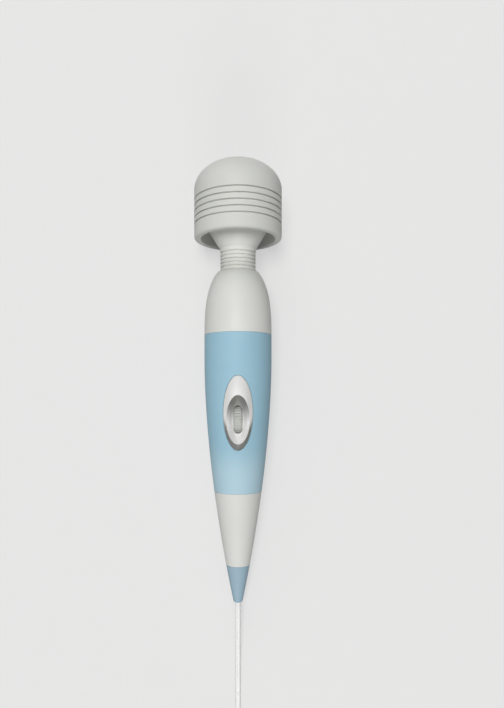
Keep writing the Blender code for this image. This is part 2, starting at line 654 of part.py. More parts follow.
# Head: flared cone, inner core and the soft ribbed cap drawn over both
seat_r = HEAD_R - HEAD_WALL
core_out = seat_r - GAP
cone_top = rim_z + CONE_INSIDE
flare_top = cone_low + (core_out - 0.7 - NECK_CREST_R) / CONE_FLARE
collar_hole = HUB_R + 0.5
bearing_low = upper_ledge + COLLAR_LENGTH + 1
cone_seat_r = CONE_BEARING_R + GAP
cone_wall = [
    (cone_seat_r, cone_top), (core_out, cone_top), (core_out, flare_top + 0.6), (core_out - 0.7, flare_top),
    (NECK_CREST_R + CONE_FLARE * 3.5, cone_low + 3.5), (NECK_CREST_R, cone_low), (opening_r, cone_low),
    (opening_r, cone_pocket), (FLANGE_R - GAP, cone_pocket), (FLANGE_R - GAP, cone_pocket + 3.3),
    (collar_hole, cone_pocket + 3.3), (collar_hole, bearing_low - GAP), (cone_seat_r, bearing_low - GAP),
]
paint(turned("head_cone", cone_wall, head_pivot, SEGMENTS), WHITE, 0.4)
bush = ring("head_bearing_lower", bore, CONE_BEARING_R, bearing_low, bearing_low + 5, head_pivot)
paint(bush, "B9BBBD", 0.3, 1.0)
core_base = cone_top + GAP
well_top = dome_z + WELL_RISE
inner_dome = DOME_HEIGHT - HEAD_WALL
core_wall = arc(90, 0, core_out, inner_dome - GAP, 0, dome_z, 5)
core_wall += [(core_out, core_base), (WELL_R, core_base), (WELL_R, well_top)]
core_wall += [(BEARING_HOLE_R, well_top), (BEARING_HOLE_R, well_top + 5), (0, well_top + 5)]
core_wall[0] = (0, core_wall[0][1])
paint(turned("head_core", core_wall, head_pivot, SEGMENTS, closed=False), "55585C", 0.5)
bush = ring("head_bearing_upper", bore, bearing_r, well_top + GAP, well_top + 4.6, head_pivot)
paint(bush, "B9BBBD", 0.3, 1.0)
cap_wall = arc(90, 0, HEAD_R, DOME_HEIGHT, 0, dome_z, 8)
cap_wall[0] = (0, length)
for i in range(GROOVES):
    z = groove_top_z - i * GROOVE_PITCH
    floor_r = HEAD_R - GROOVE_DEPTH
    cap_wall += [(HEAD_R, z + GROOVE_HALF), (floor_r, z), (HEAD_R, z - GROOVE_HALF)]
cap_wall += rim_corner + [(seat_r + 0.8, rim_z), (seat_r, rim_z + 1)]
cap_wall += arc(0, 90, seat_r, inner_dome, 0, dome_z, 5)
cap_wall[-1] = (0, dome_z + inner_dome)
paint(turned("head_cap", cap_wall, head_pivot, SEGMENTS, closed=False), "D3D4CF", 0.6)

# Eccentric that shakes the head, on its own shaft between the two head bearings
upper_top = upper_ledge + COLLAR_LENGTH
collar_wall = [
    (bore, upper_top), (HUB_R, upper_top), (HUB_R, upper_ledge), (spigot, upper_ledge),
    (spigot, upper_low), (bore, upper_low),
]
paint(turned("drive_collar_upper", collar_wall, eccentric_pivot, 16), "C2B280", 0.35, 1.0)
shaft_low = upper_low + 0.5
shaft = rod("eccentric_shaft", SHAFT_R, shaft_low, well_top + 4.4, 2, eccentric_pivot, (0, 0), wand, 14)
paint(shaft, "B9BBBD", 0.3, 1.0)
sweep = np.radians(np.linspace(-5, 185, 15))
loop = [(WEIGHT_R * math.cos(t), WEIGHT_R * math.sin(t)) for t in sweep]
loop += [(-3.6, -4.2), (3.6, -4.2)]
weight = prism("eccentric_weight", loop, core_base + 3, well_top - 3, 2, eccentric_pivot)
carve(weight, rod("weight_hole", bore, rim_z, length, 2, eccentric_pivot, (0, 0), tools, 14))
paint(weight, "A98B4F", 0.4, 1.0)

# Tail: soft strain relief with its flange held in the casing, and the clamp that grips the lead
cord_hole = CORD / 2 + GAP
boot_top = boot_neck_top + 2.4
boot_lip = BOOT_NECK_R + 0.8
boot_wall = [(cord_hole, boot_top), (boot_lip, boot_top), (boot_lip, boot_neck_top + GAP)]
boot_wall += [(BOOT_NECK_R, boot_neck_top + GAP), (BOOT_NECK_R, tail_z)]
boot_wall += along(body_r, tail_z, 0.5, 5) + [(TAIL_R * 0.87, 0), (cord_hole, 0)]
paint(turned("tail_strain_relief", boot_wall, root, 20), BLUE, 0.6)
clamp_front = -CORD / 2 - 2.4
clamp_low = (-CLAMP_HALF_W, clamp_front, clamp_low_z)
clamp = block("cord_clamp", clamp_low, (CLAMP_HALF_W, CORD / 2, clamp_top_z), root)
channel = [(cord_hole * math.cos(t), -cord_hole * math.sin(t)) for t in np.linspace(0, np.pi, 9)]
channel += [(-cord_hole, 5), (cord_hole, 5)]
carve(clamp, prism("clamp_channel", channel, 0, grip_low_z, 2, root, tools))
clamp_z = (clamp_low_z + clamp_top_z) / 2
for tag, x in (("1", -CLAMP_SCREW_X), ("2", CLAMP_SCREW_X)):
    hole = rod("clamp_hole_" + tag, 1.1, -10, 6.9, 1, root, (x, clamp_z), tools, 12)
    carve(clamp, hole)
    carve(halves["rear"], hole)
    seat = GAP - clamp_front
    line = [(0, seat + 1.5), (1.4, seat + 1.5), (1.4, seat), (0.8, seat), (0.8, -6.4), (0, -6.6)]
    screw = turned("clamp_screw_" + tag, line, root, 10, closed=False)
    screw.rotation_euler = (math.pi / 2, 0, 0)
    screw.location = Vector((x, 0, clamp_z)) * MM
    paint(screw, "8C8F93", 0.35, 1.0)
paint(clamp, "C9CAC6", 0.5)

# Mains lead in the lying frame: out of the tail, down to the table and across to the coil
lean = np.array([0, math.cos(tilt), math.sin(tilt)])
exit_at = np.array([0, -middle, lift])
coil_out_r = COIL_IN_R + COIL_PITCH * COIL_TURNS
floor_z = CORD / 2
coil_low = floor_z + TIE_THICK + GAP
inside = [exit_at + lean * z for z in np.linspace(cord_end_z, 0, 8)]
way = np.concatenate([np.linspace(0, SAG_LENGTH, 10)[1:], np.linspace(SAG_LENGTH, RUN_LENGTH, 13)[1:]])
fall = np.clip(way / SAG_LENGTH, 0, 1)
slope = -math.tan(tilt) * SAG_LENGTH
height = lift + slope * fall * (1 - fall) ** 2 + (floor_z - lift) * fall ** 2 * (3 - 2 * fall)
aside = np.clip((way - STRAIGHT_LENGTH) / (RUN_LENGTH - STRAIGHT_LENGTH), 0, 1)
ease = aside ** 2 * (3 - 2 * aside)
run_points = np.stack([coil_out_r * ease, exit_at[1] - way, height + (coil_low - floor_z) * ease], 1)
run_points = np.vstack([inside, run_points])
run_points[-1, 1] += GAP
paint(tube("cord_run", run_points, CORD, None, 2), "E2E2E0", 0.5)

coil_y = exit_at[1] - RUN_LENGTH - CORD
turns, radii, heights = [], [], []
at = 0.0
for layer in range(COIL_LAYERS):
    last = layer == COIL_LAYERS - 1
    count = LAST_TURNS if last else COIL_TURNS
    steps = np.linspace(0, count, int(round(count * TURN_SEGMENTS)) + 1)
    inward = layer % 2 == 0
    turns.append(at + steps)
    radii.append(coil_out_r - COIL_PITCH * steps if inward else COIL_IN_R + COIL_PITCH * steps)
    heights.append(np.full(steps.shape, coil_low + layer * COIL_PITCH))
    at += count
    if not last:
        climb = np.linspace(0, 0.5, TURN_SEGMENTS // 2 + 1)[1:-1]
        turns.append(at + climb)
        radii.append(np.full(climb.shape, radii[-1][-1]))
        heights.append(coil_low + (layer + climb * 2) * COIL_PITCH)
        at += 0.5
angle = -2 * np.pi * np.concatenate(turns)
radius = np.concatenate(radii)
coil_z = np.concatenate(heights)
coil_points = np.stack([radius * np.cos(angle), coil_y + radius * np.sin(angle), coil_z], 1)
print(f"coil least gap {self_gap(coil_points, CORD, TURN_SEGMENTS):.2f} mm")
lead_in = coil_points[0] + [0, CORD, 0]
lead_out = coil_points[-1] - [0, CORD, 0]
coil_line = np.vstack([lead_in, coil_points, lead_out])
paint(tube("cord_coil", coil_line, CORD, None, 1), "E2E2E0", 0.5)

drop = np.linspace(0, 1, 8)
drop_z = lead_out[2] + (floor_z - lead_out[2]) * drop ** 2 * (3 - 2 * drop)
tail_points = np.stack([np.full(8, lead_out[0]), lead_out[1] - GAP - TAIL_DROP * drop, drop_z], 1)
tail_points = np.vstack([tail_points, tail_points[-1] - [0, 8, 0]])
paint(tube("cord_tail", tail_points, CORD, None, 2), "E2E2E0", 0.5)
every = [run_points, coil_line, tail_points]
total = sum(np.linalg.norm(np.diff(line, axis=0), axis=1).sum() for line in every)
print(f"cord length {total:.0f} mm")

# Strap round the coil, and the two-pin plug at the lead's end
strap_in = COIL_IN_R - CORD / 2 - 1.1
strap_out = COIL_IN_R + LAST_TURNS * COIL_PITCH + CORD / 2 + 0.5
strap_top = coil_low + (COIL_LAYERS - 1) * COIL_PITCH + CORD / 2 + GAP


def strap_loop(grow, y):
    """A square loop round the coil's turns, grown outwards by the strap's thickness."""
    xs = np.array([-strap_out - grow, -strap_in + grow])
    zs = np.array([TIE_THICK - grow, strap_top + grow])
    return np.array([[xs[0], y, zs[0]], [xs[1], y, zs[0]], [xs[1], y, zs[1]], [xs[0], y, zs[1]]])


strap_rings = [
    strap_loop(TIE_THICK, coil_y - 4), strap_loop(TIE_THICK, coil_y + 4),
    strap_loop(0, coil_y + 4), strap_loop(0, coil_y - 4),
]
paint(lofted("cord_tie", strap_rings, None), "2C2D2F", 0.8)
plug_x = tail_points[-1, 0]
plug_y = tail_points[-1, 1] - GAP
plug_face = plug_y - PLUG_LENGTH
right = [(3.2, plug_y), (PLUG_HALF_W - 1, plug_y - 9)]
right += [(PLUG_HALF_W, plug_face + 4), (PLUG_HALF_W, plug_face)]
outline = [(plug_x + u, v) for u, v in right] + [(plug_x - u, v) for u, v in right[::-1]]
plug = prism("plug_body", outline, 0, 2 * PLUG_HALF_H, 2, None)
soften = plug.modifiers.new("soften", "BEVEL")
soften.width = 1.2 * MM
soften.segments = 2
paint(plug, "DADAD8", 0.5)
for side, sign in (("left", -1), ("right", 1)):
    x = plug_x + sign * PIN_SPREAD
    face = plug_face - GAP
    pin_low = (x - 0.75, face - PIN_LENGTH, PLUG_HALF_H - 3.1)
    pin = block("plug_pin_" + side, pin_low, (x + 0.75, face, PLUG_HALF_H + 3.1), None)
    paint(pin, "B9BBBD", 0.3, 1.0)
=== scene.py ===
# %% [markdown]
# # A handheld wand massager, dressed for its picture
# The engineering model already says where every part sits and how it moves. This file gives it its
# looks: smooth mouldings, a ribbed neck that bends, a lead of its full length, and a finish for
# every surface. Such pieces could be pushed and pulled by hand in Edit Mode. Here each one is a
# surface worked out on a grid of numbers instead, so its formula can be read, checked and changed.

# %% Load the frame
import json

import bmesh
import bpy
import numpy as np
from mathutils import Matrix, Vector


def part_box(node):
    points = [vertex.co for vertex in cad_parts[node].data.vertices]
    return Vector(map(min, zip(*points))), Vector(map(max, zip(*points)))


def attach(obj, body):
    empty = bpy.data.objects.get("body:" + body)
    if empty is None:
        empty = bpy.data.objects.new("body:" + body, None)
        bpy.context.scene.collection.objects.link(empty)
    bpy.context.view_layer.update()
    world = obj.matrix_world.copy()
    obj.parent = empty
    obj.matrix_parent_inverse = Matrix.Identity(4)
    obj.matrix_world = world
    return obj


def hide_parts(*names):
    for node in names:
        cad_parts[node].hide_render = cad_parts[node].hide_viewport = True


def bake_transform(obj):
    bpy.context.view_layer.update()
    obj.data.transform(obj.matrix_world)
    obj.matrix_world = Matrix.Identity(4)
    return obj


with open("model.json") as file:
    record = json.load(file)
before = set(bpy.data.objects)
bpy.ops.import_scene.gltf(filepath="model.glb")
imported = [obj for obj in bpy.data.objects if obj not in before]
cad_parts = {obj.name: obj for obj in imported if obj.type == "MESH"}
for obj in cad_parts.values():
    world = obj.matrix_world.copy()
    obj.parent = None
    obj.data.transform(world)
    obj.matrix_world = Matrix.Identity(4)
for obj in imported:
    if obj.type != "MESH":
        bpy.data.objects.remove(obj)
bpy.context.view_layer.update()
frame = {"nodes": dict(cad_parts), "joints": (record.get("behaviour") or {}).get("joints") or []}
MM = 0.001  # sizes below are in millimetres, and Blender's unit is the metre
print("parts in the frame:", len(frame["nodes"]))

# %% [markdown]
# ## The wand's own axes
# The wand lies on the table at a slight tilt, resting on its head and its belly. Each piece could
# be drawn where it lies, but tilted numbers are hard to read. So every piece is drawn upright,
# with x across, out towards the control and z up from the tail, and one function lays it down. The
# joints of the model give that function the true directions.

# %% Lay a piece along the wand
joints = {joint["name"]: joint for joint in frame["joints"]}
ROTOR_Z = 179.15  # height of the motor's joint above the tail
SIDE = np.array([1.0, 0.0, 0.0])
UP_WAND = np.array(joints["rotor_spin"]["axis"])
OUT = np.array(joints["neck_sway"]["axis"])
TAIL = np.array(joints["rotor_spin"]["pos_m"]) - ROTOR_Z * MM * UP_WAND


def lay(x, out, z):
    """Tail point plus x along the side, out along the front, z along the wand: mm in, metres out."""
    x, out, z = np.broadcast_arrays(x, out, z)
    return TAIL + MM * (x[..., None] * SIDE + out[..., None] * OUT + z[..., None] * UP_WAND)


print("tail at", TAIL.round(4), " tilt", np.degrees(np.arcsin(UP_WAND[2])).round(2), "degrees")

# %% [markdown]
# ## The camera
# The photograph looks square on at the front of the wand, from close by: the near dome looks a
# little larger than a long lens would show it. The camera could be turned to bring the wand to its
# place in the frame, but then its sides would lean together. So the eye sits square over the
# handle, and a small lens shift moves the picture instead.

# %% Set up the camera
PHOTO_W, PHOTO_H = 504, 708
PIXEL = 0.6875  # mm on the wand's axis that one pixel shows
EYE_OUT = 400.0  # how far the eye is from that axis
AXIS_PX, LEVEL_PX, TAIL_PX = 238.0, 404.0, 601.5  # the axis's column, the eye's row, the tail's row
SENSOR = 36.0
eye_z = (TAIL_PX - LEVEL_PX) * PIXEL
camera_data = bpy.data.cameras.new("camera")
camera_data.sensor_width = SENSOR
camera_data.lens = SENSOR * EYE_OUT / (PIXEL * PHOTO_H)
camera_data.shift_x = (PHOTO_W / 2 - AXIS_PX) / PHOTO_H
camera_data.shift_y = (LEVEL_PX - PHOTO_H / 2) / PHOTO_H
camera = bpy.data.objects.new("camera", camera_data)
bpy.context.scene.collection.objects.link(camera)
camera_place = np.eye(4)
camera_place[:3, :3] = np.stack([SIDE, UP_WAND, OUT], 1)
camera_place[:3, 3] = lay(0.0, EYE_OUT, eye_z)
camera.matrix_world = camera_place.T.tolist()
bpy.context.scene.camera = camera
print("lens", round(camera_data.lens, 1), "mm, eye at", camera_place[:3, 3].round(3))

# %% [markdown]
# ## From a grid of numbers to a mesh
# Nearly every piece is a sheet of points in rows and columns, and four neighbours make one face.
# Rows or columns that come back to their start are joined, a row that shrinks to one spot becomes
# a pole, and any open end gets a lid. Blender's primitives and modifiers could give similar
# shapes, but a grid keeps the exact formula. Edges sharper than a given angle stay crisp and the
# rest shade smoothly.

# %% Make a piece from a grid
CRISP = np.radians(38)
SAME_SPOT = 1e-7  # points closer than this, in metres, become one


def piece_from_grid(name, grid, rows_meet=False, columns_meet=True):
    """One face between each four neighbours of grid[row, column] = (x, y, z) in metres."""
    rows, columns = grid.shape[:2]
    spot = np.arange(rows * columns).reshape(rows, columns)
    spot = np.vstack([spot, spot[:1]]) if rows_meet else spot
    spot = np.hstack([spot, spot[:, :1]]) if columns_meet else spot
    faces = np.stack([spot[:-1, :-1], spot[:-1, 1:], spot[1:, 1:], spot[1:, :-1]], -1)
    mesh = bpy.data.meshes.new(name)
    mesh.from_pydata(grid.reshape(-1, 3).tolist(), [], faces.reshape(-1, 4).tolist())
    shape = bmesh.new()
    shape.from_mesh(mesh)
    bmesh.ops.remove_doubles(shape, verts=shape.verts, dist=SAME_SPOT)
    bmesh.ops.holes_fill(shape, edges=shape.edges, sides=0)
    bmesh.ops.recalc_face_normals(shape, faces=shape.faces)
    shape.to_mesh(mesh)
    shape.free()
    mesh.shade_smooth()
    mesh.set_sharp_from_angle(angle=CRISP)
    piece = bpy.data.objects.new(name, mesh)
    bpy.context.scene.collection.objects.link(piece)
    print(f"{name}: {len(mesh.polygons)} faces")
    return piece


# %% [markdown]
# ## The lead's route
# The lead is just under two metres of mains flex. It leaves the tail, sags to the table and runs
# off the bottom of the picture. The rest lies just outside the view as a strapped coil, and a
# short tail leads to the plug. A curve could be drawn by hand or dropped as a simulated rope, but
# it has to lie where the engineering model has it, so the route repeats that model's own numbers.

# %% Work out the run from the tail to the coil
FLEX_W, FLEX_H = 3.6, 2.9
GAP = 0.3  # clearance between neighbours
SAG, STRAIGHT, RUN = 62.0, 88.0, 152.0  # where it meets the table, turns aside, meets the coil
COIL_IN, COIL_PITCH, COIL_TURNS = 15.1, 4.55, 2.5
STRAP_THICK = 1.0
IN_BOOT = 14.0  # the free lead starts this far up inside the tail
INSIDE_POINTS, RUN_POINTS = 8, 77


def smooth(share):
    """0 to 1 with level ends: 3 s squared minus 2 s cubed."""
    share = np.clip(share, 0, 1)
    return share ** 2 * (3 - 2 * share)


exit_at = TAIL / MM
flex_floor = FLEX_H / 2
coil_low = flex_floor + STRAP_THICK + GAP
coil_out = COIL_IN + COIL_PITCH * COIL_TURNS
inside = exit_at + UP_WAND * np.linspace(IN_BOOT, 0, INSIDE_POINTS)[:, None]
way = np.linspace(0, RUN, RUN_POINTS)[1:]
fall = np.clip(way / SAG, 0, 1)
first_slope = -SAG * UP_WAND[2] / UP_WAND[1]
drop = exit_at[2] + first_slope * fall * (1 - fall) ** 2 + (flex_floor - exit_at[2]) * smooth(fall)
aside = smooth((way - STRAIGHT) / (RUN - STRAIGHT))
run = np.stack([coil_out * aside, exit_at[1] - way, drop + (coil_low - flex_floor) * aside], 1)
print("lead leaves at", exit_at.round(1), "and meets the coil at", run[-1].round(1))

# %% [markdown]
# The spare length is wound up as a hand does it, in flat layers that wind inwards and outwards in
# turn. A Screw modifier gives only one steady coil, so each layer is a flat spiral of its own
# here. It ends where the next one starts, one pitch higher, and half a turn at a steady radius
# climbs between them.

# %% Wind the coil
COIL_LAYERS, LAST_TURNS, CLIMB = 4, 3.0, 0.5  # CLIMB is the part of a turn between two layers
TURN_STEPS = 48
turns, radii, heights = [], [], []
turned_so_far = 0.0
for layer in range(COIL_LAYERS):
    is_last, inwards = layer == COIL_LAYERS - 1, layer % 2 == 0
    count = LAST_TURNS if is_last else COIL_TURNS
    steps = np.linspace(0, count, int(round(count * TURN_STEPS)) + 1)
    turns.append(turned_so_far + steps)
    radii.append(coil_out - COIL_PITCH * steps if inwards else COIL_IN + COIL_PITCH * steps)
    heights.append(np.full(steps.shape, coil_low + layer * COIL_PITCH))
    turned_so_far += count
    if not is_last:
        climb = np.linspace(0, CLIMB, int(CLIMB * TURN_STEPS) + 1)[1:-1]
        turns.append(turned_so_far + climb)
        radii.append(np.full(climb.shape, radii[-1][-1]))
        heights.append(coil_low + (layer + smooth(climb / CLIMB)) * COIL_PITCH)
        turned_so_far += CLIMB
winding = -2 * np.pi * np.concatenate(turns)
radius, height = np.concatenate(radii), np.concatenate(heights)
coil_y = exit_at[1] - RUN - FLEX_W
coil = np.stack([radius * np.cos(winding), coil_y + radius * np.sin(winding), height], 1)
print("coil of", turned_so_far, "turns, from", radius.min(), "to", radius.max(), "mm in radius")

# %% [markdown]
# From the top of the coil the end drops back to the table and runs straight into the plug. The
# drop has level ends, so the flex doesn't kink where it leaves the coil or where it lies down.

# %% Lead the end to the plug
TAIL_DROP, TAIL_END, TAIL_POINTS = 40.0, 8.0, 16
leave = coil[-1] - [0, FLEX_W, 0]
share_down = np.linspace(0, 1, TAIL_POINTS)[:, None]
tail = leave + [0, -GAP, 0] + share_down * [0, -TAIL_DROP, 0]
tail[:, 2] = leave[2] + (flex_floor - leave[2]) * smooth(share_down[:, 0])
tail = np.vstack([tail, tail[-1] - [0, TAIL_END, 0]])
route = np.vstack([inside, run, coil, leave, tail])
lead_length = np.linalg.norm(np.diff(route, axis=0), axis=1).sum()
print("lead length from the boot to the plug:", lead_length.round(), "mm")

# %% [markdown]
# ## The flex itself
# Twin flex is two cores side by side under one white cover, with a groove down the middle of both
# faces. A Blender curve with a bevel is quick but round, and can't show that groove. So an oval
# outline with its middle pressed in is carried along the route and kept level. The few centimetres
# that the clamp holds inside the handle are a piece of their own, as the free lead starts in the
# tail.

# %% Carry the flex outline along the route
FLEX_GROOVE, FLEX_GROOVE_HALF, FLEX_SIDES = 0.7, 0.4, 40
CLAMPED = 60.0  # height in the handle where the held length ends, past its clamp


def carried(name, path, across, up):
    """Outline set square to a path, its width kept level: p + across * side + up * top."""
    ahead = np.gradient(path, axis=0)
    ahead /= np.linalg.norm(ahead, axis=1)[:, None]
    side = np.cross(ahead, [0, 0, 1.0])
    side /= np.linalg.norm(side, axis=1)[:, None]
    top = np.cross(side, ahead)
    grid = path[:, None] + across[None, :, None] * side[:, None] + up[None, :, None] * top[:, None]
    return piece_from_grid(name, MM * grid)


sweep = np.linspace(0, 2 * np.pi, FLEX_SIDES, endpoint=False)
flex_x = FLEX_W / 2 * np.cos(sweep)
flex_groove = FLEX_GROOVE * np.exp(-(flex_x / FLEX_GROOVE_HALF) ** 2)
flex_y = (FLEX_H / 2 - flex_groove) * np.sin(sweep)
lead = carried("lead", route, flex_x, flex_y)
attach(lead, "handle")
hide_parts("cord_run", "cord_coil", "cord_tail")
held = exit_at + UP_WAND * np.linspace(CLAMPED, IN_BOOT + GAP, INSIDE_POINTS)[:, None]
lead_held = carried("lead_held", held, flex_x, flex_y)
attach(lead_held, "handle")
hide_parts("cord_run")
print("flex with", lead_length.round(), "mm free and", CLAMPED - IN_BOOT, "mm held in the handle")

# %% [markdown]
# ## The handle's outline
# The handle is a long club: thin at the tail, widest near the top of the blue grip, then rounded
# in over the shoulder like the end of an egg. It could be traced with a curve, but casing, grip,
# bezel and boot all have to follow it to a hair. One radius per height says it all for every one
# of them.

# %% The radius of the handle
GRIP_R, TAIL_R, WIDEST_Z, GRIP_TOP, GRIP_LOW = 23.0, 3.0, 165.0, 183.0, 76.0
SHOULDER_TOP, SHOULDER_LONG = GRIP_TOP + 43.0, 48.5
TAPER, EGG = 1.75, 2.6  # powers: how slowly the club tapers, how full the shoulder is


def body_r(z):
    """Club: widest radius less a power of the way to the tail; shoulder: times a full oval."""
    z = np.asarray(z, float)
    club = GRIP_R - (GRIP_R - TAIL_R) * np.clip((WIDEST_Z - z) / WIDEST_Z, 0, None) ** TAPER
    rise = np.clip((z - GRIP_TOP) / SHOULDER_LONG, 0, 1)
    return club * (1 - rise ** EGG) ** (1 / EGG)


def stretch(z_from, z_to, count, under=0.0):
    """Points of the handle's outline between two heights, a given depth under its surface."""
    z = np.linspace(z_from, z_to, count)
    return np.stack([body_r(z) - under, z], 1)


print("radius at tail, belly and shoulder:", body_r([0, WIDEST_Z, SHOULDER_TOP]).round(2))

# %% [markdown]
# ## Turning a profile
# The wand's mouldings are round, so each is a profile of radius and height turned about the wand,
# as on a lathe. Blender's Spin tool does this by hand. A function keeps the profile as numbers,
# and it can stop short of a full turn, which the casing halves need.

# %% Turn a profile about the wand
def turned(name, profile, first=0.0, last=2 * np.pi, steps=128):
    """A profile of (radius, height) turned about the wand: x = r sin(angle), out = r cos(angle)."""
    profile = np.asarray(profile, float)
    whole = bool(np.isclose(last - first, 2 * np.pi))
    angle = np.linspace(first, last, steps, endpoint=not whole)
    r, z = profile[:, :1], profile[:, 1:]
    grid = lay(r * np.sin(angle), r * np.cos(angle), z + 0 * angle)
    on_axis = profile[0, 0] == 0 and profile[-1, 0] == 0
    return piece_from_grid(name, grid, rows_meet=not on_axis, columns_meet=whole)


# %% [markdown]
# ## The two casing halves
# The white casing is two moulded half shells that meet at the sides with a hairline joint. A whole
# tube could be sliced in two, but turning the same wall through just under half a circle gives
# both halves with clean edges at once. The wall is stepped back where the grip and the boot lie
# over it.

# %% Mould the casing halves
BOOT_TOP, BOOT_NECK_R, OPENING_R = 25.4, 5.2, 9.9
SLEEVE, WALL = 1.6, 2.0  # thickness of the grip and of the casing
EDGE, CHAMFER, STEP = 0.5, 0.12, 1.0
OPENING_DEEP, INNER_LOW, INNER_TOP = 4.8, BOOT_TOP + 9, SHOULDER_TOP - 12
JOINT_HALF, HALF_STEPS = 0.15, 72
casing_wall = np.vstack([
    [(OPENING_R, SHOULDER_TOP), (body_r(SHOULDER_TOP) - EDGE, SHOULDER_TOP)],
    stretch(SHOULDER_TOP - EDGE, GRIP_TOP + CHAMFER, 40),
    [(body_r(GRIP_TOP) - CHAMFER, GRIP_TOP), (body_r(GRIP_TOP) - SLEEVE - GAP, GRIP_TOP)],
    stretch(GRIP_TOP - STEP, GRIP_LOW + STEP, 40, SLEEVE + GAP),
    [(body_r(GRIP_LOW) - SLEEVE - GAP, GRIP_LOW), (body_r(GRIP_LOW) - CHAMFER, GRIP_LOW)],
    stretch(GRIP_LOW - CHAMFER, BOOT_TOP + GAP + CHAMFER, 24),
    [(body_r(BOOT_TOP) - CHAMFER, BOOT_TOP + GAP), (BOOT_NECK_R, BOOT_TOP + GAP)],
    stretch(INNER_LOW, INNER_TOP, 30, SLEEVE + GAP + WALL),
    [(OPENING_R, SHOULDER_TOP - OPENING_DEEP)],
])
quarter = np.pi / 2
hairline = np.arcsin(JOINT_HALF / GRIP_R)
front_span = hairline - quarter, quarter - hairline
rear_span = hairline + quarter, 3 * quarter - hairline
casing_front = turned("casing_front", casing_wall, *front_span, HALF_STEPS)
casing_rear = turned("casing_rear", casing_wall, *rear_span, HALF_STEPS)
for half, node in ((casing_front, "front_shell"), (casing_rear, "rear_shell")):
    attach(half, "handle")
    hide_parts(node)

# %% [markdown]
# Three screws hold the halves together from the back, each in a round well: a post stands on the
# inside of the wall, and a recess goes down to the screw's seat. Wells could be woven into the
# wall's grid point by point, but two round bars do it more simply: one is joined on, the other is
# cut out.

# %% Sink the screw wells
SCREW_SEAT, SCREW_HEAD_R, POST_R, POST_DEEP = 8.0, 2.6, 3.3, 1.0
SCREW_X, UPPER_Z, LOWER_Z = 9.0, SHOULDER_TOP - 14.0, GRIP_LOW - 10.0
screw_spots = {"casing_screw_1": (-SCREW_X, UPPER_Z), "casing_screw_2": (SCREW_X, UPPER_Z),
               "casing_screw_3": (0.0, LOWER_Z)}


def cut(piece, cutter, how="DIFFERENCE"):
    """Cuts one piece with another, or joins them, and throws the cutter away."""
    tool = piece.modifiers.new("cut", "BOOLEAN")
    tool.object, tool.operation, tool.solver = cutter, how, "EXACT"
    bpy.context.view_layer.update()
    seen = piece.evaluated_get(bpy.context.evaluated_depsgraph_get())
    result = bpy.data.meshes.new_from_object(seen)
    piece.modifiers.clear()
    piece.data = result
    bpy.data.objects.remove(cutter)
    result.shade_smooth()
    result.set_sharp_from_angle(angle=CRISP)


def round_bar(name, radius, x, z, out_from, out_to):
    """A bar straight out between two depths: x + radius cos(t), z + radius sin(t)."""
    t = np.linspace(0, 2 * np.pi, 48, endpoint=False)
    out = np.array([[out_from], [out_to]])
    return piece_from_grid(name, lay(x + radius * np.cos(t), out, z + radius * np.sin(t)))


for x, z in screw_spots.values():
    edge_r = min(body_r(z + POST_R), body_r(z - POST_R))
    post_end = np.sqrt(edge_r ** 2 - (abs(x) + POST_R) ** 2) - GAP
    cut(casing_rear, round_bar("post", POST_R, x, z, POST_DEEP - SCREW_SEAT, -post_end), "UNION")
    cut(casing_rear, round_bar("recess", SCREW_HEAD_R + GAP, x, z, -SCREW_SEAT, -2 * GRIP_R))

# %% [markdown]
# A screw's head is a low dome with a cross pressed into it. The cross could be cut out with two
# boxes, but its floor and edges would be too sharp for pressed steel. Drawn on rings and spokes
# about the screw's own middle, the cross is a dip in the dome's height, with soft edges.

# %% Set the screws
SCREW_R, SCREW_HIGH, SCREW_DOME, SHANK = 1.2, 1.9, 0.75, 7.0
CROSS_W, CROSS_L, CROSS_DEEP, CROSS_EDGE, CROSS_END = 0.38, 1.55, 0.9, 0.15, 0.3


def screw(name, x, z):
    """Rings and spokes: height = dome less a cross, where |u| < width and |v| < length, or the
    reverse."""
    t = np.linspace(0, 2 * np.pi, 96, endpoint=False)
    r = np.linspace(0, SCREW_HEAD_R, 33)[:, None]
    u, v = np.abs(r * np.cos(t)), np.abs(r * np.sin(t))
    arm = np.maximum(
        smooth((CROSS_W - u) / CROSS_EDGE + 0.5) * smooth((CROSS_L - v) / CROSS_END + 0.5),
        smooth((CROSS_W - v) / CROSS_EDGE + 0.5) * smooth((CROSS_L - u) / CROSS_END + 0.5))
    seat = SCREW_SEAT + GAP
    dome = SCREW_HIGH * np.sqrt(1 - SCREW_DOME * (r / SCREW_HEAD_R) ** 4)
    under = np.array([[seat], [seat], [-SHANK], [-SHANK]]) + 0 * t
    under_r = np.array([[SCREW_HEAD_R], [SCREW_R], [SCREW_R], [0.0]])
    r, out = np.vstack([r, under_r]), -np.vstack([seat + dome - CROSS_DEEP * arm, under])
    return piece_from_grid(name, lay(x + r * np.cos(t), out, z + r * np.sin(t)))


screws = []
for node, (x, z) in screw_spots.items():
    screws.append(screw(node.replace("casing", "cross"), x, z))
    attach(screws[-1], "handle")
    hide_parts(node)

# %% [markdown]
# ## Painted light and shade that change by place
# The blue of the grip has a painted highlight that makes it paler towards its lower end, and the
# control has painted shade from white to grey. A picture wrapped round the piece could do that. A
# number kept at every point of the mesh needs no picture and stays with the piece as it moves: its
# finish reads it later.

# %% Keep painted light and shade at the points of a mesh
def on_wand(mesh):
    """x across and z up the wand of every point of a mesh, in mm."""
    spots = np.empty(len(mesh.vertices) * 3)
    mesh.vertices.foreach_get("co", spots)
    spots = (spots.reshape(-1, 3) - TAIL) / MM
    return spots @ SIDE, spots @ UP_WAND


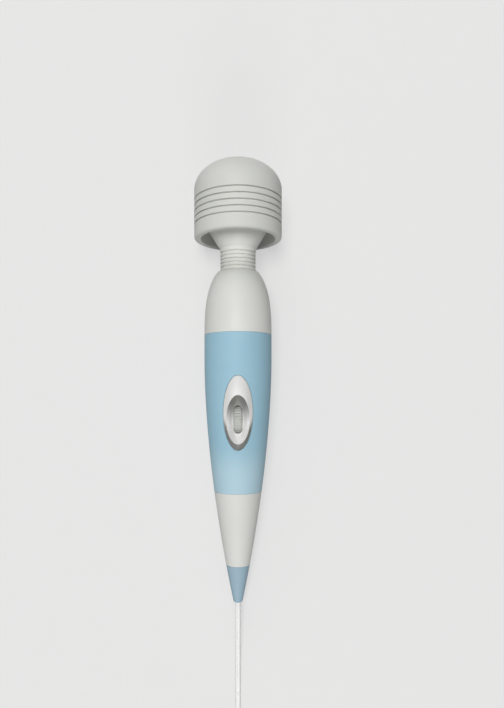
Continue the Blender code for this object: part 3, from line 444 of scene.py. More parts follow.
def keep_painted_light_and_shade(mesh, share):
    """Keeps a share from 0 to 1 per point, by which a finish goes over to its painted light or
    shade.
    """
    kept = mesh.attributes.new("painted_light_and_shade", "FLOAT", "POINT")
    kept.data.foreach_set("value", share.astype(np.float32))
    print(mesh.name, "goes over to its second tone by up to", round(float(share.max()), 2))


# %% [markdown]
# ## The grip
# A soft blue band is moulded over the middle of the handle, flush with the white at both ends. The
# casing could be painted blue there, but the real band is a rubber of its own with a hairline
# seam. So it is a full turn of a thin wall, and an oval prism cuts the window for the control.

# %% Mould the grip and cut its window
BEZEL_W, BEZEL_L, BEZEL_Z = 9.6, 24.4, 129.9  # half width, half length and middle of the control
LIP, SEAM = 0.15, 0.06
GRIP_ROWS, GRIP_STEPS = 90, 160
CUT_FROM, CUT_TO = 8, 40  # depths that a prism through the front wall runs between
# The blue's paling towards its lower end is a painted highlight.
PAINTED_LIGHT_FROM, PAINTED_LIGHT_LONG = 36, 26  # how far above its lower end the blue starts to pale, and over what
grip_high, grip_foot = GRIP_TOP - SEAM, GRIP_LOW + SEAM
grip_wall = np.vstack([
    [(body_r(GRIP_TOP) - LIP, grip_high)], stretch(grip_high - LIP, grip_foot + LIP, GRIP_ROWS),
    [(body_r(GRIP_LOW) - LIP, grip_foot)], stretch(grip_foot, grip_high, GRIP_ROWS, SLEEVE),
])
grip = turned("grip", grip_wall, steps=GRIP_STEPS)


def oval_prism(name, half_w, half_l, at_z, out_from, out_to):
    """An oval, x = w cos(t) and z = middle + l sin(t), carried straight out between two depths."""
    t = np.linspace(0, 2 * np.pi, 96, endpoint=False)
    out = np.array([[out_from], [out_to]])
    return piece_from_grid(name, lay(half_w * np.cos(t), out, at_z + half_l * np.sin(t)))


cut(grip, oval_prism("window", BEZEL_W + GAP, BEZEL_L + GAP, BEZEL_Z, CUT_FROM, CUT_TO))
# Painted highlight: the blue grows paler towards its lower end.
keep_painted_light_and_shade(grip.data, smooth((GRIP_LOW + PAINTED_LIGHT_FROM - on_wand(grip.data)[1]) / PAINTED_LIGHT_LONG))
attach(grip, "handle")
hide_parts("grip_sleeve")

# %% [markdown]
# ## The control bezel
# The control is a long mound that climbs slowly from the head side and drops steeply on the tail
# side, with a dished well and a round-ended slot. It could be sculpted or cut from solids, but it
# has to sit on the handle's double curve without a gap. So it is a stack of closed loops, each
# lying a given height above the handle, from the slot over the crest to the foot.

# %% A loop of the bezel
DIAL_Z, DISH_W, DISH_L, SLOT_W, SLOT_L = 125.6, 7.7, 16.0, 2.9, 9.3
SIDE_DROP, SIDE_POWER = 0.8, 6  # how far the mound drops at its sides, and how narrow that is
LEVEL_LEAST = 0.25  # share of its levelness that the mound keeps on the tail side
LOOP = 192
loop_turn = np.linspace(0, 2 * np.pi, LOOP, endpoint=False)


def bezel_loop(half_w, half_l, at_z, rise, slotted=0.0, flat=0.0):
    """A loop rise mm above the handle: an oval, or by the share slotted a round-ended slot.
    Out = root of ((handle's radius + rise) squared less (x (1 - flat)) squared), so by the share
    flat it keeps level across instead of following the handle round."""
    half_w, half_l, at_z, rise, slotted, flat = (
        np.asarray(v, float)[..., None] for v in (half_w, half_l, at_z, rise, slotted, flat))
    steep = np.arcsin(np.abs(np.sin(loop_turn))) / quarter
    # Two thirds of each quarter run along the slot's straight side, the last third round its end.
    bend = np.clip(3 * steep - 2, 0, 1) * quarter
    slot_x = np.cos(bend) * np.sign(np.round(np.cos(loop_turn), 9))
    slot_z = (half_l - half_w) * np.clip(1.5 * steep, 0, 1) + half_w * np.sin(bend)
    slot_z = slot_z * np.sign(np.round(np.sin(loop_turn), 9))
    x = half_w * ((1 - slotted) * np.cos(loop_turn) + slotted * slot_x)
    z = at_z + (1 - slotted) * half_l * np.sin(loop_turn) + slotted * slot_z
    rise = rise - SIDE_DROP * np.clip(rise, 0, None) * np.cos(loop_turn) ** SIDE_POWER
    flat = flat * (LEVEL_LEAST + (1 - LEVEL_LEAST) * smooth((z - DIAL_Z) / DISH_L))
    return lay(x, np.sqrt((body_r(z) + rise) ** 2 - (x * (1 - flat)) ** 2), z)


print("one loop has", bezel_loop(DISH_W, DISH_L, DIAL_Z, 0.0).shape[0], "points")

# %% [markdown]
# The loops run from the slot up the well to the crest, down the mound to its foot, and back under
# the mound to the slot, so the stack closes on itself and the bezel is one solid ring.

# %% Stack the loops
DISH_SINK, BEZEL_RISE, BEZEL_SKIN, LEVEL, PROUD = 1.9, 2.9, 1.6, 0.6, 0.1
WELL_POWER, MOUND_POWER = 1.7, 1.5
SLOT_SHARE = 0.6  # the share of the well over which the slot's shape turns to the oval
TUCK_IN, TUCK_DOWN = 0.4, 1.2  # how the underside steps into the hole of the casing
well = np.linspace(0, 1, 40)
mound = np.linspace(0, 1, 30)[1:]
well_rise = -DISH_SINK + (DISH_SINK + BEZEL_RISE) * well ** WELL_POWER
mound_rise = BEZEL_RISE * (1 - mound ** MOUND_POWER) + PROUD
bezel_grid = np.vstack([
    bezel_loop(SLOT_W + (DISH_W - SLOT_W) * well, SLOT_L + (DISH_L - SLOT_L) * well,
               DIAL_Z + 0 * well, well_rise, 1 - smooth(well / SLOT_SHARE), LEVEL * well),
    bezel_loop(DISH_W + (BEZEL_W - DISH_W) * mound, DISH_L + (BEZEL_L - DISH_L) * mound,
               DIAL_Z + (BEZEL_Z - DIAL_Z) * mound, mound_rise, 0.0, LEVEL),
    bezel_loop([BEZEL_W, DISH_W, DISH_W - TUCK_IN], [BEZEL_L, DISH_L, DISH_L - TUCK_IN],
               [BEZEL_Z, DIAL_Z, DIAL_Z], [-SLEEVE, -SLEEVE, -SLEEVE - TUCK_DOWN]),
    bezel_loop([SLOT_W], [SLOT_L], [DIAL_Z], [-DISH_SINK - BEZEL_SKIN], [1.0]),
])
bezel = piece_from_grid("bezel", bezel_grid, rows_meet=True)
cut(casing_front, oval_prism("dish_hole", DISH_W + GAP, DISH_L + GAP, DIAL_Z, CUT_FROM, CUT_TO))
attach(bezel, "handle")
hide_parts("control_bezel")

# %% [markdown]
# The control's white ABS has painted shade: grey at the head end of the well and on the wall that
# faces the tail, as light from beyond the head would leave them. The lamps alone would not darken
# both, so the painted shade is kept at every point.

# %% Paint shade into the control
PAINTED_SHADE_FROM, PAINTED_SHADE_LONG = 0.3, 0.6  # shares of the well's length, counted from its tail end
WALL_SHADE_FROM, WALL_SHADE_LONG = 2, 0.4 * BEZEL_L  # mm below the bezel's middle where the wall's grey grows
AT_CREST = 0.001  # points this near the crest count as neither well nor wall


def painted_shade_share(x, z):
    """Painted shade: in the well from tail end to head end, and past the crest down the lower wall.
    """
    from_middle = np.hypot(x / DISH_W, (z - DIAL_Z) / DISH_L)
    from_tail_end = np.clip((z - DIAL_Z + DISH_L) / (2 * DISH_L), 0, 1)
    well_shade = smooth((from_tail_end - PAINTED_SHADE_FROM) / PAINTED_SHADE_LONG)
    wall_shade = smooth((BEZEL_Z - z - WALL_SHADE_FROM) / WALL_SHADE_LONG)
    return np.where(from_middle < 1 - AT_CREST, well_shade, wall_shade * (from_middle > 1 + AT_CREST))


# Painted shade: grey at the well's head end and on the lower wall.
keep_painted_light_and_shade(bezel.data, painted_shade_share(*on_wand(bezel.data)))

# %% [markdown]
# ## The thumb dial
# A ridged wheel stands on edge in the slot, and only a sliver of it shows. Its ridges could be
# copies of one small block set round a disc, but moulded ridges are softer. So the rim is a wave
# of 36 ridges, rounded off towards both sides so that they end softly.

# %% Turn the dial
DIAL_R, DIAL_WIDE, DIAL_RIDGES, RIDGE, AXLE_R = 10.6, 5.5, 36, 0.35, 1.8
RIDGE_POINTS, RIDGE_POWER = 10, 0.7
ROUND_OFF, ROUND_POWER = 0.7, 6
dial_out = ((np.array(joints["dial_turn"]["pos_m"]) - TAIL) @ OUT) / MM
around = np.linspace(0, 2 * np.pi, DIAL_RIDGES * RIDGE_POINTS, endpoint=False)
across = DIAL_WIDE / 2 * np.sin(np.linspace(-quarter, quarter, 15))
round_off = ROUND_OFF * (1 - np.sqrt(1 - (np.abs(across) / (DIAL_WIDE / 2)) ** ROUND_POWER))
ridges = RIDGE * (0.5 - 0.5 * np.cos(DIAL_RIDGES * around)) ** RIDGE_POWER
rim = DIAL_R - round_off[:, None] - ridges
hub = np.full((2, around.size), AXLE_R)
dial_r = np.vstack([rim, hub])
dial_x = np.concatenate([across, across[[-1, 0]]])[:, None]
dial_grid = lay(dial_x, dial_out + dial_r * np.cos(around), DIAL_Z + dial_r * np.sin(around))
dial = piece_from_grid("dial", dial_grid, rows_meet=True)
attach(dial, "dial")
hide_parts("speed_dial")

# %% [markdown]
# ## The tail's boot
# A blue rubber boot closes the tail and keeps the lead from kinking there. It could be a plain
# cone, but then a step would show where it meets the casing. Its wall takes the handle's own
# outline, so the taper runs on down to the lead, and its end is rounded.

# %% Mould the boot
BORE_R, BOOT_NECK_LONG = 2.05, 6
END_R, END_WIDE, END_HIGH, END_FROM = 2.2, 0.75, 0.7, 0.9  # the rounding at its lower end
end_turn = np.linspace(0, quarter, 9)
boot_seam = BOOT_TOP + GAP - SEAM
boot_wall = np.vstack([
    [(BORE_R, BOOT_TOP + BOOT_NECK_LONG), (BOOT_NECK_R - GAP, BOOT_TOP + BOOT_NECK_LONG)],
    [(BOOT_NECK_R - GAP, boot_seam), (body_r(BOOT_TOP) - LIP, boot_seam)],
    stretch(boot_seam - LIP, END_FROM, 40),
    np.stack([END_R + END_WIDE * np.cos(end_turn), END_HIGH - END_HIGH * np.sin(end_turn)], 1),
    [(BORE_R, 0.0)],
])
boot = turned("boot", boot_wall, steps=96)
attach(boot, "handle")
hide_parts("tail_strain_relief")

# %% [markdown]
# ## The ribbed neck
# The neck is a soft bellows that bends twice: it nods on the handle and sways under the head. One
# piece with an armature could bend so, but the frame bends a piece across one joint only. So the
# bellows is two pieces that meet in a valley, where the cut doesn't show.

# %% Mould the neck in two lengths
RIBS, CREST_R, VALLEY_R, SPIGOT_R, NECK_BORE = 6, 12.2, 11.0, 9.6, 7.6
NECK_LOW, NECK_TOP = SHOULDER_TOP + GAP, SHOULDER_TOP + 15.5
SPIGOT_LONG, NECK_STEPS = 7.0, 112
RIB_POINTS, RIB_POWER = 16, 0.55
STIFF = 0.4  # a length to either side of the split
rib = (NECK_TOP - NECK_LOW) / RIBS
neck_split = NECK_LOW + RIBS // 2 * rib


def ribs(z_from, z_to):
    """Rounded bands with narrow valleys: valley plus the rib's height times a flattened wave."""
    z = np.linspace(z_from, z_to, RIBS // 2 * RIB_POINTS + 1)
    wave = np.abs(np.sin(np.pi * (z - NECK_LOW) / rib)) ** RIB_POWER
    wave = np.where(z > NECK_TOP - rib / 2, 1.0, wave)  # the last half rib runs on into the cone
    return np.stack([VALLEY_R + (CREST_R - VALLEY_R) * wave, z], 1)


spigot_low, spigot_top = NECK_LOW - SPIGOT_LONG, NECK_TOP + SPIGOT_LONG
neck_end = NECK_TOP + GAP - SEAM
lower_wall = np.vstack([
    [(NECK_BORE, spigot_low), (SPIGOT_R, spigot_low), (SPIGOT_R, NECK_LOW)],
    ribs(NECK_LOW, neck_split), [(NECK_BORE, neck_split)]])
upper_wall = np.vstack([
    [(NECK_BORE, neck_split)], ribs(neck_split, NECK_TOP), [(CREST_R, neck_end)],
    [(SPIGOT_R, neck_end), (SPIGOT_R, spigot_top), (NECK_BORE, spigot_top)]])
neck_lower = turned("neck_lower", lower_wall, steps=NECK_STEPS)
neck_upper = turned("neck_upper", upper_wall, steps=NECK_STEPS)
lay(0, 0, NECK_LOW)
lay(0, 0, neck_split - STIFF)
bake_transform(neck_lower)
lay(0, 0, neck_split + STIFF)
lay(0, 0, NECK_TOP)
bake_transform(neck_upper)
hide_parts("neck_bellows")
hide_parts("neck_bellows")

# %% [markdown]
# Inside the neck a coil spring carries the motor's turn to the weight in the head, and it bends
# with the neck. A rigid coil would cut through its collar there, and the frame bends a piece
# across one joint only. So it is drawn in two halves that meet between the neck's two bends: one
# turns with the motor, the other with the weight.

# %% Wind the drive spring
SPRING_R, SPRING_WIRE, SPRING_TURNS, SPRING_SPLIT = 4.4, 1.0, 6, SHOULDER_TOP + 8.5
SPRING_POINTS, WIRE_SIDES = 90, 14
spring_z = on_wand(frame["nodes"]["drive_spring"].data)[1]
spring_low, spring_top = spring_z.min() + SPRING_WIRE / 2, spring_z.max() - SPRING_WIRE / 2


def spring_half(name, z_from, z_to):
    """Coil: r = radius + wire cos(t), height = climb with the turn + wire sin(t)."""
    climb = np.linspace(z_from, z_to, SPRING_POINTS)[:, None]
    angle = 2 * np.pi * SPRING_TURNS * (climb - spring_low) / (spring_top - spring_low)
    t = np.linspace(0, 2 * np.pi, WIRE_SIDES, endpoint=False)
    r, z = SPRING_R + SPRING_WIRE / 2 * np.cos(t), climb + SPRING_WIRE / 2 * np.sin(t)
    return piece_from_grid(name, lay(r * np.cos(angle), -r * np.sin(angle), z))


spring_halves = [spring_half("spring_lower", spring_low, SPRING_SPLIT),
                 spring_half("spring_upper", SPRING_SPLIT + GAP, spring_top)]
for half, body in zip(spring_halves, ("rotor", "eccentric")):
    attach(half, body)
    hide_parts("drive_spring")

# %% [markdown]
# ## The cone under the head
# A white cone flares out of the neck and disappears into the soft cap. Blender's own cone would be
# solid and sharp. A turned wall gives it its real thickness, an opening for the drive and a small
# rounded edge where the flare ends in the cap.

# %% Turn the cone
RIM_Z = NECK_TOP + 6.9
CONE_LOW, CONE_TOP, CONE_FLARE, CONE_R, CONE_WALL = NECK_TOP + GAP, RIM_Z + 16.6, 0.625, 25.1, 1.8
CONE_EDGE_IN, CONE_EDGE_UP, CONE_BASE = 0.7, 0.6, 3
flare = np.linspace(0, (CONE_R - CONE_EDGE_IN - CREST_R) / CONE_FLARE, 30)
flare_r = CREST_R + CONE_FLARE * flare
cone_inside = np.stack([flare_r, CONE_LOW + flare + CONE_WALL / CONE_FLARE], 1)
cone_wall = np.vstack([
    [(OPENING_R, CONE_LOW)], np.stack([flare_r, CONE_LOW + flare], 1),
    [(CONE_R, CONE_LOW + flare[-1] + CONE_EDGE_UP), (CONE_R, CONE_TOP)],
    [(CONE_R - CONE_WALL, CONE_TOP)],
    cone_inside[-2::-8],  # a straight wall needs only every eighth point
    [(OPENING_R, CONE_LOW + CONE_BASE)]])
cone = turned("cone", cone_wall)
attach(cone, "head")
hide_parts("head_cone")

# %% [markdown]
# ## The soft cap
# The head is covered by a thick soft cap: a low dome, a straight barrel with five fine grooves and
# a rounded rim. The grooves could be a bump in the finish, but they cut the outline too, so they
# are real dips in the profile, with more points where they bend.

# %% Mould the cap
HEAD_R, HEAD_WALL, RIM_ROUND = 30.0, 4.6, 1.8
DOME_Z, DOME_HIGH = RIM_Z + 33.6, 20.3
GROOVE_TOP, GROOVE_PITCH, GROOVES, GROOVE_DEEP, GROOVE_HALF = DOME_Z - 7.0, 4.18, 5, 1.5, 0.45
NEAR, NEAR_POINTS = 2.6, 27  # how many half widths round a groove get extra points, and how many
DOME_EDGE = 0.2  # the barrel's first row lies this far under the dome's last
RIM_INSIDE = np.array([(0.8, 0.0), (0.2, 0.3), (0.0, 1.0)])  # chamfer of the rim's inner edge
CAP_STEPS = 160
cap_in_r = HEAD_R - HEAD_WALL
dome_turn = np.linspace(quarter, 0, 49)
inner_turn = dome_turn[::-4]
rim_turn = np.linspace(0, quarter, 14)
groove_at = GROOVE_TOP - GROOVE_PITCH * np.arange(GROOVES)
near = (groove_at[:, None] + np.linspace(-NEAR, NEAR, NEAR_POINTS) * GROOVE_HALF).ravel()
even = np.linspace(RIM_Z + RIM_ROUND, DOME_Z - DOME_EDGE, 40)
barrel_z = np.unique(np.round(np.concatenate([even, near]), 3))[::-1]
dips = np.exp(-((barrel_z[:, None] - groove_at) / GROOVE_HALF) ** 4).sum(1)
rim_r = HEAD_R - RIM_ROUND * (1 - np.cos(rim_turn))
rim_z = RIM_Z + RIM_ROUND * (1 - np.sin(rim_turn))
inner_z = DOME_Z + (DOME_HIGH - HEAD_WALL) * np.sin(inner_turn)
cap_wall = np.vstack([
    np.stack([HEAD_R * np.cos(dome_turn), DOME_Z + DOME_HIGH * np.sin(dome_turn)], 1),
    np.stack([HEAD_R - GROOVE_DEEP * dips, barrel_z], 1),
    np.stack([rim_r, rim_z], 1),
    RIM_INSIDE + [cap_in_r, RIM_Z],
    np.stack([cap_in_r * np.cos(inner_turn), inner_z], 1),
])
cap_wall[[0, -1], 0] = 0.0
cap = turned("cap", cap_wall, steps=CAP_STEPS)
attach(cap, "head")
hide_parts("head_cap")

# %% [markdown]
# ## The plug and its pins
# The lead ends in a moulded plug with three grip rings and two flat pins. A cube with bevels comes
# close, but its neck swells from the lead's width to the full body. So plug and pins are lofted:
# rounded boxes, one behind the other, whose half width and half height change along the way.

# %% Loft the plug
PLUG_W, PLUG_H, PLUG_LONG, PLUG_POWER = 8.5, 6.0, 30.0, 3.2
PLUG_NECK_W, PLUG_NECK_H, SWELL_LONG = 3.0, 2.8, 14
RING_AT, RING_DEEP, RING_HALF, RING_UP = [9, 12, 15], 0.45, 0.7, 0.6
NOSE_IN, NOSE_LONG = 0.9, 1
plug_x, plug_y = route[-1, 0], route[-1, 1] - GAP


def lofted(name, along, half_w, half_h, power, at_x, at_z):
    """Rounded boxes along Y: x = w sign(cos) |cos|^(2/n), z = h sign(sin) |sin|^(2/n)."""
    along, half_w, half_h = (np.asarray(v, float)[:, None] for v in (along, half_w, half_h))
    t = np.linspace(0, 2 * np.pi, 64, endpoint=False)
    x = at_x + half_w * np.sign(np.cos(t)) * np.abs(np.cos(t)) ** (2 / power)
    z = at_z + half_h * np.sign(np.sin(t)) * np.abs(np.sin(t)) ** (2 / power)
    return piece_from_grid(name, MM * np.stack([x, along + 0 * x, z], -1))


back = np.linspace(0, PLUG_LONG, 61)
swell = smooth(back / SWELL_LONG)
rings = RING_DEEP * np.exp(-((back[:, None] - RING_AT) / RING_HALF) ** 2).sum(1)
nose_share = np.clip((back - PLUG_LONG + NOSE_LONG) / NOSE_LONG, 0, 1)
nose = NOSE_IN * (1 - np.sqrt(1 - nose_share ** 2))
plug_half_w = PLUG_NECK_W + (PLUG_W - PLUG_NECK_W) * swell - rings - nose
plug_half_h = PLUG_NECK_H + (PLUG_H - PLUG_NECK_H) * swell - RING_UP * rings - nose
plug = lofted("plug", plug_y - back, plug_half_w, plug_half_h, PLUG_POWER, plug_x, PLUG_H)
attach(plug, "handle")
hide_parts("plug_body")

# %% [markdown]
# The pins are stamped from flat brass, with rounded tips that find the socket. They are lofted
# like the plug, with more rows near the tip, where width and height fall off.

# %% Loft the pins
PIN_LONG, PIN_SPREAD, TIP_LONG, PIN_POWER = 16.0, 6.35, 3, 8
PIN_THICK, PIN_HIGH = 0.75, 3.1  # half sizes
TIP_THINS, TIP_DROPS = 0.4, 1.6  # how much of them the tip loses
TIP_START = 0.1  # angle where the rows of the tip begin
tip_rows = PIN_LONG - TIP_LONG * (1 - np.sin(np.linspace(TIP_START, quarter, 10)))
pin_way = np.concatenate([np.linspace(0, PIN_LONG - TIP_LONG, 6), tip_rows])
tip = np.clip((pin_way - PIN_LONG + TIP_LONG) / TIP_LONG, 0, 1)
pin_y = plug_y - PLUG_LONG - GAP - pin_way
pin_half_w, pin_half_h = PIN_THICK - TIP_THINS * tip ** 4, PIN_HIGH - TIP_DROPS * tip ** 2.5
pins = [lofted("pin_" + side, pin_y, pin_half_w, pin_half_h, PIN_POWER, plug_x + x, PLUG_H)
        for side, x in (("left", -PIN_SPREAD), ("right", PIN_SPREAD))]
for pin in pins:
    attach(pin, "handle")
    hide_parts("plug_" + pin.name)

# %% [markdown]
# ## The strap
# A woven strap holds the coil together. Cloth could be simulated round it, but a strap pulled
# tight has one clear shape: a rounded oblong in the upright plane, with a thickness, a width and
# slightly bulging edges. The solid in the frame gives its size and place.

# %% Wrap the strap
STRAP_WIDE, STRAP_POWER, BULGE = 8.0, 0.22, 1.08
strap_low, strap_high = (np.array(corner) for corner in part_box("cord_tie"))
strap_mid = (strap_low + strap_high) / 2 / MM
strap_half = (strap_high - strap_low) / 2 / MM
strap_turn = np.linspace(0, 2 * np.pi, 120, endpoint=False)
# Once round the band's section: shares of its thickness and of its half width.
strap_edge = np.array([
    (0, -1), (0, 1), (0.15, BULGE), (0.85, BULGE), (1, 1), (1, -1), (0.85, -BULGE), (0.15, -BULGE)])
depth = STRAP_THICK * strap_edge[:, :1]
strap_across = np.sign(np.cos(strap_turn)) * np.abs(np.cos(strap_turn)) ** STRAP_POWER
strap_up = np.sign(np.sin(strap_turn)) * np.abs(np.sin(strap_turn)) ** STRAP_POWER
strap_grid = np.stack([
    strap_mid[0] + (strap_half[0] - depth) * strap_across,
    strap_mid[1] + STRAP_WIDE / 2 / BULGE * strap_edge[:, 1:] + 0 * strap_across,
    strap_mid[2] + (strap_half[2] - depth) * strap_up], -1)
strap = piece_from_grid("strap", MM * strap_grid, rows_meet=True)
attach(strap, "handle")
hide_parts("cord_tie")

# %% [markdown]

# %% [markdown]
# ## Finishes
# A finish is a small graph of nodes. It could be wired by hand in the Shader Editor, but in a
# script every value can be read in one place. One small function adds a node, sets its values and
# links its inputs. Colours are written as they look on a screen and turned to the linear light
# that Blender mixes in.

# %% Colour and node helpers
def linear(hex_colour):
    """sRGB hex to linear: c / 12.92 when dark, else ((c + 0.055) / 1.055) to the power 2.4."""
    c = np.array([int(hex_colour[i:i + 2], 16) for i in (0, 2, 4)]) / 255
    return (*np.where(c <= 0.04045, c / 12.92, ((c + 0.055) / 1.055) ** 2.4).tolist(), 1.0)


def add_node(material, kind, inputs=None, **settings):
    """Adds one node: settings are its properties, inputs are values or the sockets to link from."""
    made = material.node_tree.nodes.new(kind)
    for name, value in settings.items():
        setattr(made, name, value)
    for name, value in (inputs or {}).items():
        if isinstance(value, bpy.types.NodeSocket):
            material.node_tree.links.new(value, made.inputs[name])
        else:
            made.inputs[name].default_value = value
    return made


def per_metre(size_mm):
    """Texture scale for a feature of that size in mm, on Object coordinates in metres."""
    return 1 / (size_mm * MM)


print("middle grey in linear light:", round(linear("808080")[0], 3))

# %% [markdown]
# The mouldings share one recipe: a body colour that drifts a little over centimetres, as pigment
# does in a mould, a fine spark-eroded grain that the tool leaves, and a polish that varies with
# the grain. One flat colour would be simpler, but it looks like paper cut-outs under soft light.
# Where a mesh keeps painted light or shade, the colour goes over to its painted tone, and for the
# strap threads take the grain's place.

# %% One recipe for the finishes
DRIFT_MM = 18  # size of the patches in which the colour drifts
POLISH_SPREAD = 0.06  # how far the roughness varies to either side
GRAIN_LOW, GRAIN_HIGH = 0.3, 0.7  # the noise hardly leaves this range
BUMP_STRENGTH = 0.6
WAVE_PERIOD = 0.628  # Blender's slanting wave repeats at this length when its scale is 1


def moulded(name, pale, deep, rough, grain_mm, grain_deep_mm, painted_tone=None, twill=False,
            **constants):
    """Colour = mix of two shades by broad noise, gone over to a painted light or shade tone where
    the mesh asks for it; roughness and bump from a fine noise, or from slanting threads for a twill."""
    material = bpy.data.materials.new(name)
    material.use_nodes = True
    tree = material.node_tree
    shader = tree.nodes["Principled BSDF"]
    where = add_node(material, "ShaderNodeTexCoord").outputs["Object"]
    if twill:
        threads = {"Vector": where, "Scale": WAVE_PERIOD * per_metre(grain_mm)}
        drift = grain = add_node(material, "ShaderNodeTexWave", threads, bands_direction="DIAGONAL")
    else:
        drift = add_node(material, "ShaderNodeTexNoise", {
            "Vector": where, "Scale": per_metre(DRIFT_MM), "Detail": 3.0})
        grain = add_node(material, "ShaderNodeTexNoise", {
            "Vector": where, "Scale": per_metre(grain_mm), "Detail": 2.0, "Roughness": 0.6})
    shade = add_node(material, "ShaderNodeMix", {"Factor": drift.outputs["Fac"]}, data_type="RGBA")
    shade.inputs["A"].default_value = linear(deep)
    shade.inputs["B"].default_value = linear(pale)
    polish = add_node(material, "ShaderNodeMapRange", {
        "Value": grain.outputs["Fac"], "From Min": GRAIN_LOW, "From Max": GRAIN_HIGH,
        "To Min": rough - POLISH_SPREAD, "To Max": rough + POLISH_SPREAD})
    bump = add_node(material, "ShaderNodeBump", {
        "Height": grain.outputs["Fac"], "Distance": grain_deep_mm * MM, "Strength": BUMP_STRENGTH})
    if painted_tone:
        share = add_node(material, "ShaderNodeAttribute", attribute_name="painted_light_and_shade")
        tones = {"Factor": share.outputs["Fac"], "A": shade.outputs["Result"], "B": linear(painted_tone)}
        shade = add_node(material, "ShaderNodeMix", tones, data_type="RGBA")
    tree.links.new(shade.outputs["Result"], shader.inputs["Base Color"])
    tree.links.new(polish.outputs["Result"], shader.inputs["Roughness"])
    tree.links.new(bump.outputs["Normal"], shader.inputs["Normal"])
    for socket, value in constants.items():
        shader.inputs[socket.replace("_", " ")].default_value = value
    print(name, "has", len(tree.nodes), "nodes")
    return material


# %% [markdown]
# Outside, the wand is hard plastic, soft rubber and silicone, all matt. Each finish starts from
# the typical values of its material, and the colours are then matched to the photograph.

# %% Finishes that show
# Injection-moulded ABS from a lightly sparked tool: warm white with a soft gleam.
white_abs = moulded("abs_warm_white_moulded", "DFE0DB", "D9DAD5", 0.48, 0.5, 0.02, IOR=1.54,
                    Specular_IOR_Level=0.35)
# ABS with a satin finish, white on the mound; 7C7C78 is painted shade in the well and lower wall.
bezel_abs = moulded("abs_white_satin_painted_shade", "E3E3E1", "DFDFDD", 0.42, 0.6, 0.008,
                    painted_tone="7C7C78", IOR=1.5)
# Soft-touch TPE over the ABS: matt, with hardly any gleam, and a painted highlight at its lower end.
blue_tpe = moulded("tpe_light_blue_matt", "A1C7D8", "98C0D2", 0.56, 0.45, 0.03, painted_tone="B3D1DE",
                   IOR=1.5, Specular_IOR_Level=0.25)
# The tail's boot is the same rubber, a shade greyer.
boot_tpe = moulded("tpe_grey_blue_matt", "A1BAC9", "9AB4C3", 0.56, 0.45, 0.03, IOR=1.5,
                   Specular_IOR_Level=0.25)
# Liquid silicone rubber of the cap: warm white and matt, with a faint gleam.
silicone = moulded("silicone_warm_white_matt", "D8D9D4", "D2D3CE", 0.5, 0.6, 0.02, IOR=1.41,
                   Specular_IOR_Level=0.3)
# The neck's silicone is the cap's, painted a shade paler: painted light against the head's shade.
neck_silicone_painted_light = moulded("silicone_white_painted_lighter", "E8E9E4", "E2E3DE", 0.5, 0.6, 0.02, IOR=1.41,
                        Specular_IOR_Level=0.3)
# Moulded ABS of the dial: light grey, so that the ridges read.
dial_abs = moulded("abs_light_grey_moulded", "B6B8B2", "ACAEA8", 0.42, 0.5, 0.015, IOR=1.54)
# Plasticised PVC drawn over the cores and moulded over the plug: bright white with a soft gloss.
white_pvc = moulded("pvc_white_extruded", "F8F8F7", "F4F4F3", 0.36, 1.2, 0.02, IOR=1.53)

# %% [markdown]
# The parts inside show only when the wand is opened or taken apart, but each still gets the finish
# of what it is made of. The metals keep the default index of refraction, as their gloss comes from
# Metallic. The strap is here too, because its weave is the one finish that isn't a moulding.

# %% Finishes of the parts inside, the pins and the strap
# Uncoloured ABS regrind: mid grey and dull.
inner_abs = moulded("abs_grey_inner", "8B8E92", "7E8185", 0.5, 0.6, 0.03, IOR=1.54)
# Nitrile rubber: black and quite matt.
black_rubber = moulded("nitrile_rubber_black", "2C2D2F", "242527", 0.7, 0.5, 0.04, IOR=1.52)
# Sintered ferrite: dark grey and dry like slate.
ferrite = moulded("ferrite_sintered_grey", "3C3C3E", "303032", 0.65, 0.4, 0.04)
# Glass-epoxy laminate under a green mask: smooth, with a gloss.
laminate = moulded("glass_epoxy_laminate_green", "2F6B45", "285E3B", 0.35, 0.9, 0.02, IOR=1.55)
# Shrunk polyester sleeve: blue-black and glossy.
capacitor_film = moulded("pet_sleeve_blue_black", "28313F", "222A36", 0.3, 1.0, 0.01)
# Extruded PVC wire cover: plain red with a soft gloss.
red_pvc = moulded("pvc_wire_cover_red", "A3302C", "962A27", 0.4, 0.8, 0.02)
# Zinc-plated steel: pale bluish metal with a fine scatter.
steel = moulded("steel_zinc_plated", "B4B7BA", "A6A9AD", 0.34, 0.4, 0.01, Metallic=1.0)
# Nickel plate on stamped brass: bright, slightly warm metal.
nickel = moulded("brass_nickel_plated", "C9C6BD", "BDBAB1", 0.24, 2.5, 0.002, Metallic=1.0)
# Sintered bronze: brown metal, dulled by its pores.
bronze = moulded("bronze_sintered", "A5875A", "94784F", 0.42, 0.3, 0.02, Metallic=1.0)
# Enamelled copper wire: reddish metal, its grain as fine as the wire.
copper = moulded("copper_enamelled_wire", "B0683F", "9C5A34", 0.35, 0.4, 0.05, Metallic=1.0)
# Nylon threads woven slantwise; real ones are 0.4 mm apart, drawn at 1.3 mm so that they show.
strap_weave = moulded("nylon_strap_twill_black", "3C3D42", "222327", 0.85, 1.3, 0.2, twill=True,
                      Sheen_Weight=0.3)
print("finishes:", len(bpy.data.materials))

# %% [markdown]
# Every piece now gets its finish. The new pieces and the parts left as the engineering model has
# them could be set one by one in the Properties editor; two lists show at a glance what is made of
# what.

